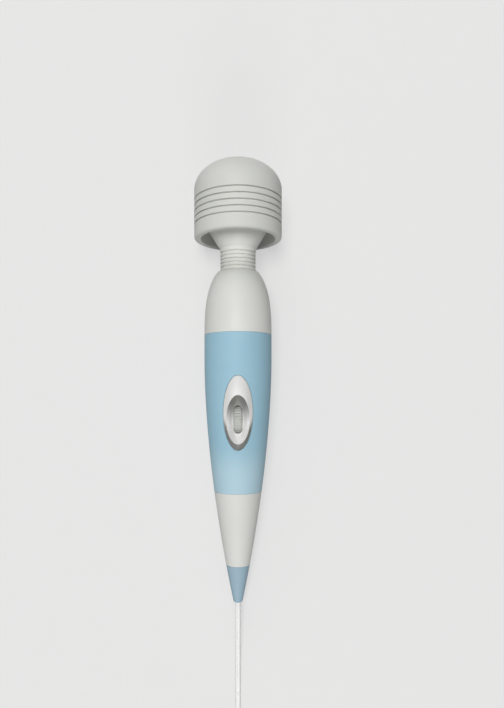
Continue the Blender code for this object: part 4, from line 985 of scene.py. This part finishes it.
# %% Give every piece its finish
worn = {
    white_abs: [casing_front, casing_rear, cone], bezel_abs: [bezel], blue_tpe: [grip],
    boot_tpe: [boot], silicone: [cap], neck_silicone_painted_light: [neck_lower, neck_upper], dial_abs: [dial],
    white_pvc: [lead, lead_held, plug], nickel: pins, strap_weave: [strap],
    steel: screws + spring_halves,
}
inside_finish = {
    steel: ["motor_can", "motor_shaft", "armature_core", "clamp_screw_1", "clamp_screw_2",
            "eccentric_shaft", "head_bearing_lower", "head_bearing_upper", "motor_bearing_front",
            "motor_bearing_rear", "eccentric_weight", "dial_axle"],
    bronze: ["drive_collar_lower", "drive_collar_upper", "commutator", "motor_brush_left",
             "motor_brush_right"],
    copper: ["winding_rear", "winding_front"], ferrite: ["motor_magnet_left", "motor_magnet_right"],
    black_rubber: ["motor_mount_front", "motor_mount_rear"], laminate: ["control_board"],
    capacitor_film: ["smoothing_capacitor", "bridge_rectifier"],
    red_pvc: ["supply_wire_left", "supply_wire_right", "motor_wire_left", "motor_wire_right"],
    inner_abs: ["motor_end_cap", "speed_potentiometer", "cord_clamp", "head_core"],
}
wearers = [(piece, material) for material, pieces in worn.items() for piece in pieces]
wearers += [(frame["nodes"][name], material)
            for material, names in inside_finish.items() for name in names]
for piece, material in wearers:
    piece.data.materials.clear()
    piece.data.materials.append(material)
print("pieces and inner parts finished:", len(wearers))

# %% [markdown]
# ## Floor
# A plain pale floor takes the soft shadow. White paper would throw much light back on the wand and
# wash out its edges, which are dark in the photograph. So the paper is mid grey and glows, but
# only to the eye: the background stays pale, the shadow stays on it, and little light bounces
# back.

# %% Lay the floor
FLOOR_HALF, FLOOR_UNDER = 3.0, 0.0002  # metres: half its side, and how far it lies under the wand
PAPER_GLOW = 0.53


def seen_directly(material):
    """1 for rays from the eye, or by way of metal or glass; 0 for light that only bounces about."""
    rays = add_node(material, "ShaderNodeLightPath").outputs
    eye_or_metal = add_node(material, "ShaderNodeMath", {
        0: rays["Is Camera Ray"], 1: rays["Is Glossy Ray"]}, operation="MAXIMUM")
    return add_node(material, "ShaderNodeMath", {
        0: eye_or_metal.outputs[0], 1: rays["Is Transmission Ray"]}, operation="MAXIMUM").outputs[0]


corners = np.array([[(-1, -1, 0), (1, -1, 0)], [(-1, 1, 0), (1, 1, 0)]], float)
floor = piece_from_grid("floor", FLOOR_HALF * corners - [0, 0, FLOOR_UNDER], columns_meet=False)
paper = moulded("paper_backdrop_pale", "8C8C8B", "898988", 0.9, 0.8, 0.01,
                Emission_Color=linear("FFFFFF"))
glow = add_node(paper, "ShaderNodeMath", {
    0: seen_directly(paper), 1: PAPER_GLOW}, operation="MULTIPLY")
paper_shader = paper.node_tree.nodes["Principled BSDF"]
paper.node_tree.links.new(glow.outputs[0], paper_shader.inputs["Emission Strength"])
floor.data.materials.append(paper)

# %% [markdown]
# ## Lamps
# Three soft boxes light the wand: a strong one above it and a little to the left, and two weak
# ones low beyond its head and its tail. A sun lamp would be simpler, but its shadow is too hard.
# The boxes are large and far away, so the light is even along the wand and leaves no bright patch
# on the floor.

# %% Hang the lamps
AIM = (0, 0, 0.02)
ROLL_AXIS = [0, 1.0, 0.001]  # nearly along the wand, so that no box hangs askew
soft_boxes = {  # place and side in metres, power in watts
    "key": ((-0.56, 0.24, 4.8), 1.8, 144.0),
    "head_side": ((-0.8, 4.0, 1.8), 1.6, 40.0),
    "fill": ((0.0, -3.8, 1.6), 1.4, 44.0),
}


def lamp(name, at, size, power):
    """A square soft box; its z axis runs from the aim to its place, so that it faces the aim."""
    data = bpy.data.lights.new(name, "AREA")
    data.size, data.energy = size, power
    box = bpy.data.objects.new(name, data)
    away = np.array(at) - np.array(AIM)
    z_axis = away / np.linalg.norm(away)
    x_axis = np.cross(ROLL_AXIS, z_axis)
    x_axis /= np.linalg.norm(x_axis)
    place = np.eye(4)
    place[:3, :3] = np.stack([x_axis, np.cross(z_axis, x_axis), z_axis], 1)
    place[:3, 3] = at
    box.matrix_world = place.T.tolist()
    bpy.context.scene.collection.objects.link(box)
    print("soft box", name, "hangs", round(float(np.linalg.norm(away)), 2), "m from the wand")


for name, (at, size, power) in soft_boxes.items():
    lamp(name, at, size, power)

# %% [markdown]
# ## The room
# The room gives a weak even light, brighter from the ceiling than from the walls, that keeps the
# shadows open. A photographed studio could light it too, but would bring in a picture file. The
# eye sees the room as pale as the floor, so the background has no dark edge in other views.

# %% Light the room
WALLS, CEILING, ROOM_SEEN = 0.10, 0.22, 0.78
world = bpy.data.worlds.new("room")
world.use_nodes = True
way_out = add_node(world, "ShaderNodeTexCoord").outputs["Generated"]
towards = add_node(world, "ShaderNodeSeparateXYZ", {"Vector": way_out})
dim_to_bright = add_node(world, "ShaderNodeMapRange", {
    "Value": towards.outputs["Z"], "From Min": 0.0, "From Max": 1.0,
    "To Min": WALLS, "To Max": CEILING})
level = add_node(world, "ShaderNodeMix", {
    "Factor": seen_directly(world), "A": dim_to_bright.outputs["Result"], "B": ROOM_SEEN},
    data_type="FLOAT")
room_light = world.node_tree.nodes["Background"]
room_light.inputs["Color"].default_value = linear("FFFFFF")
world.node_tree.links.new(level.outputs["Result"], room_light.inputs["Strength"])
bpy.context.scene.world = world
bpy.context.scene.view_settings.view_transform = "Standard"
print("room lit by", len(world.node_tree.nodes), "nodes")
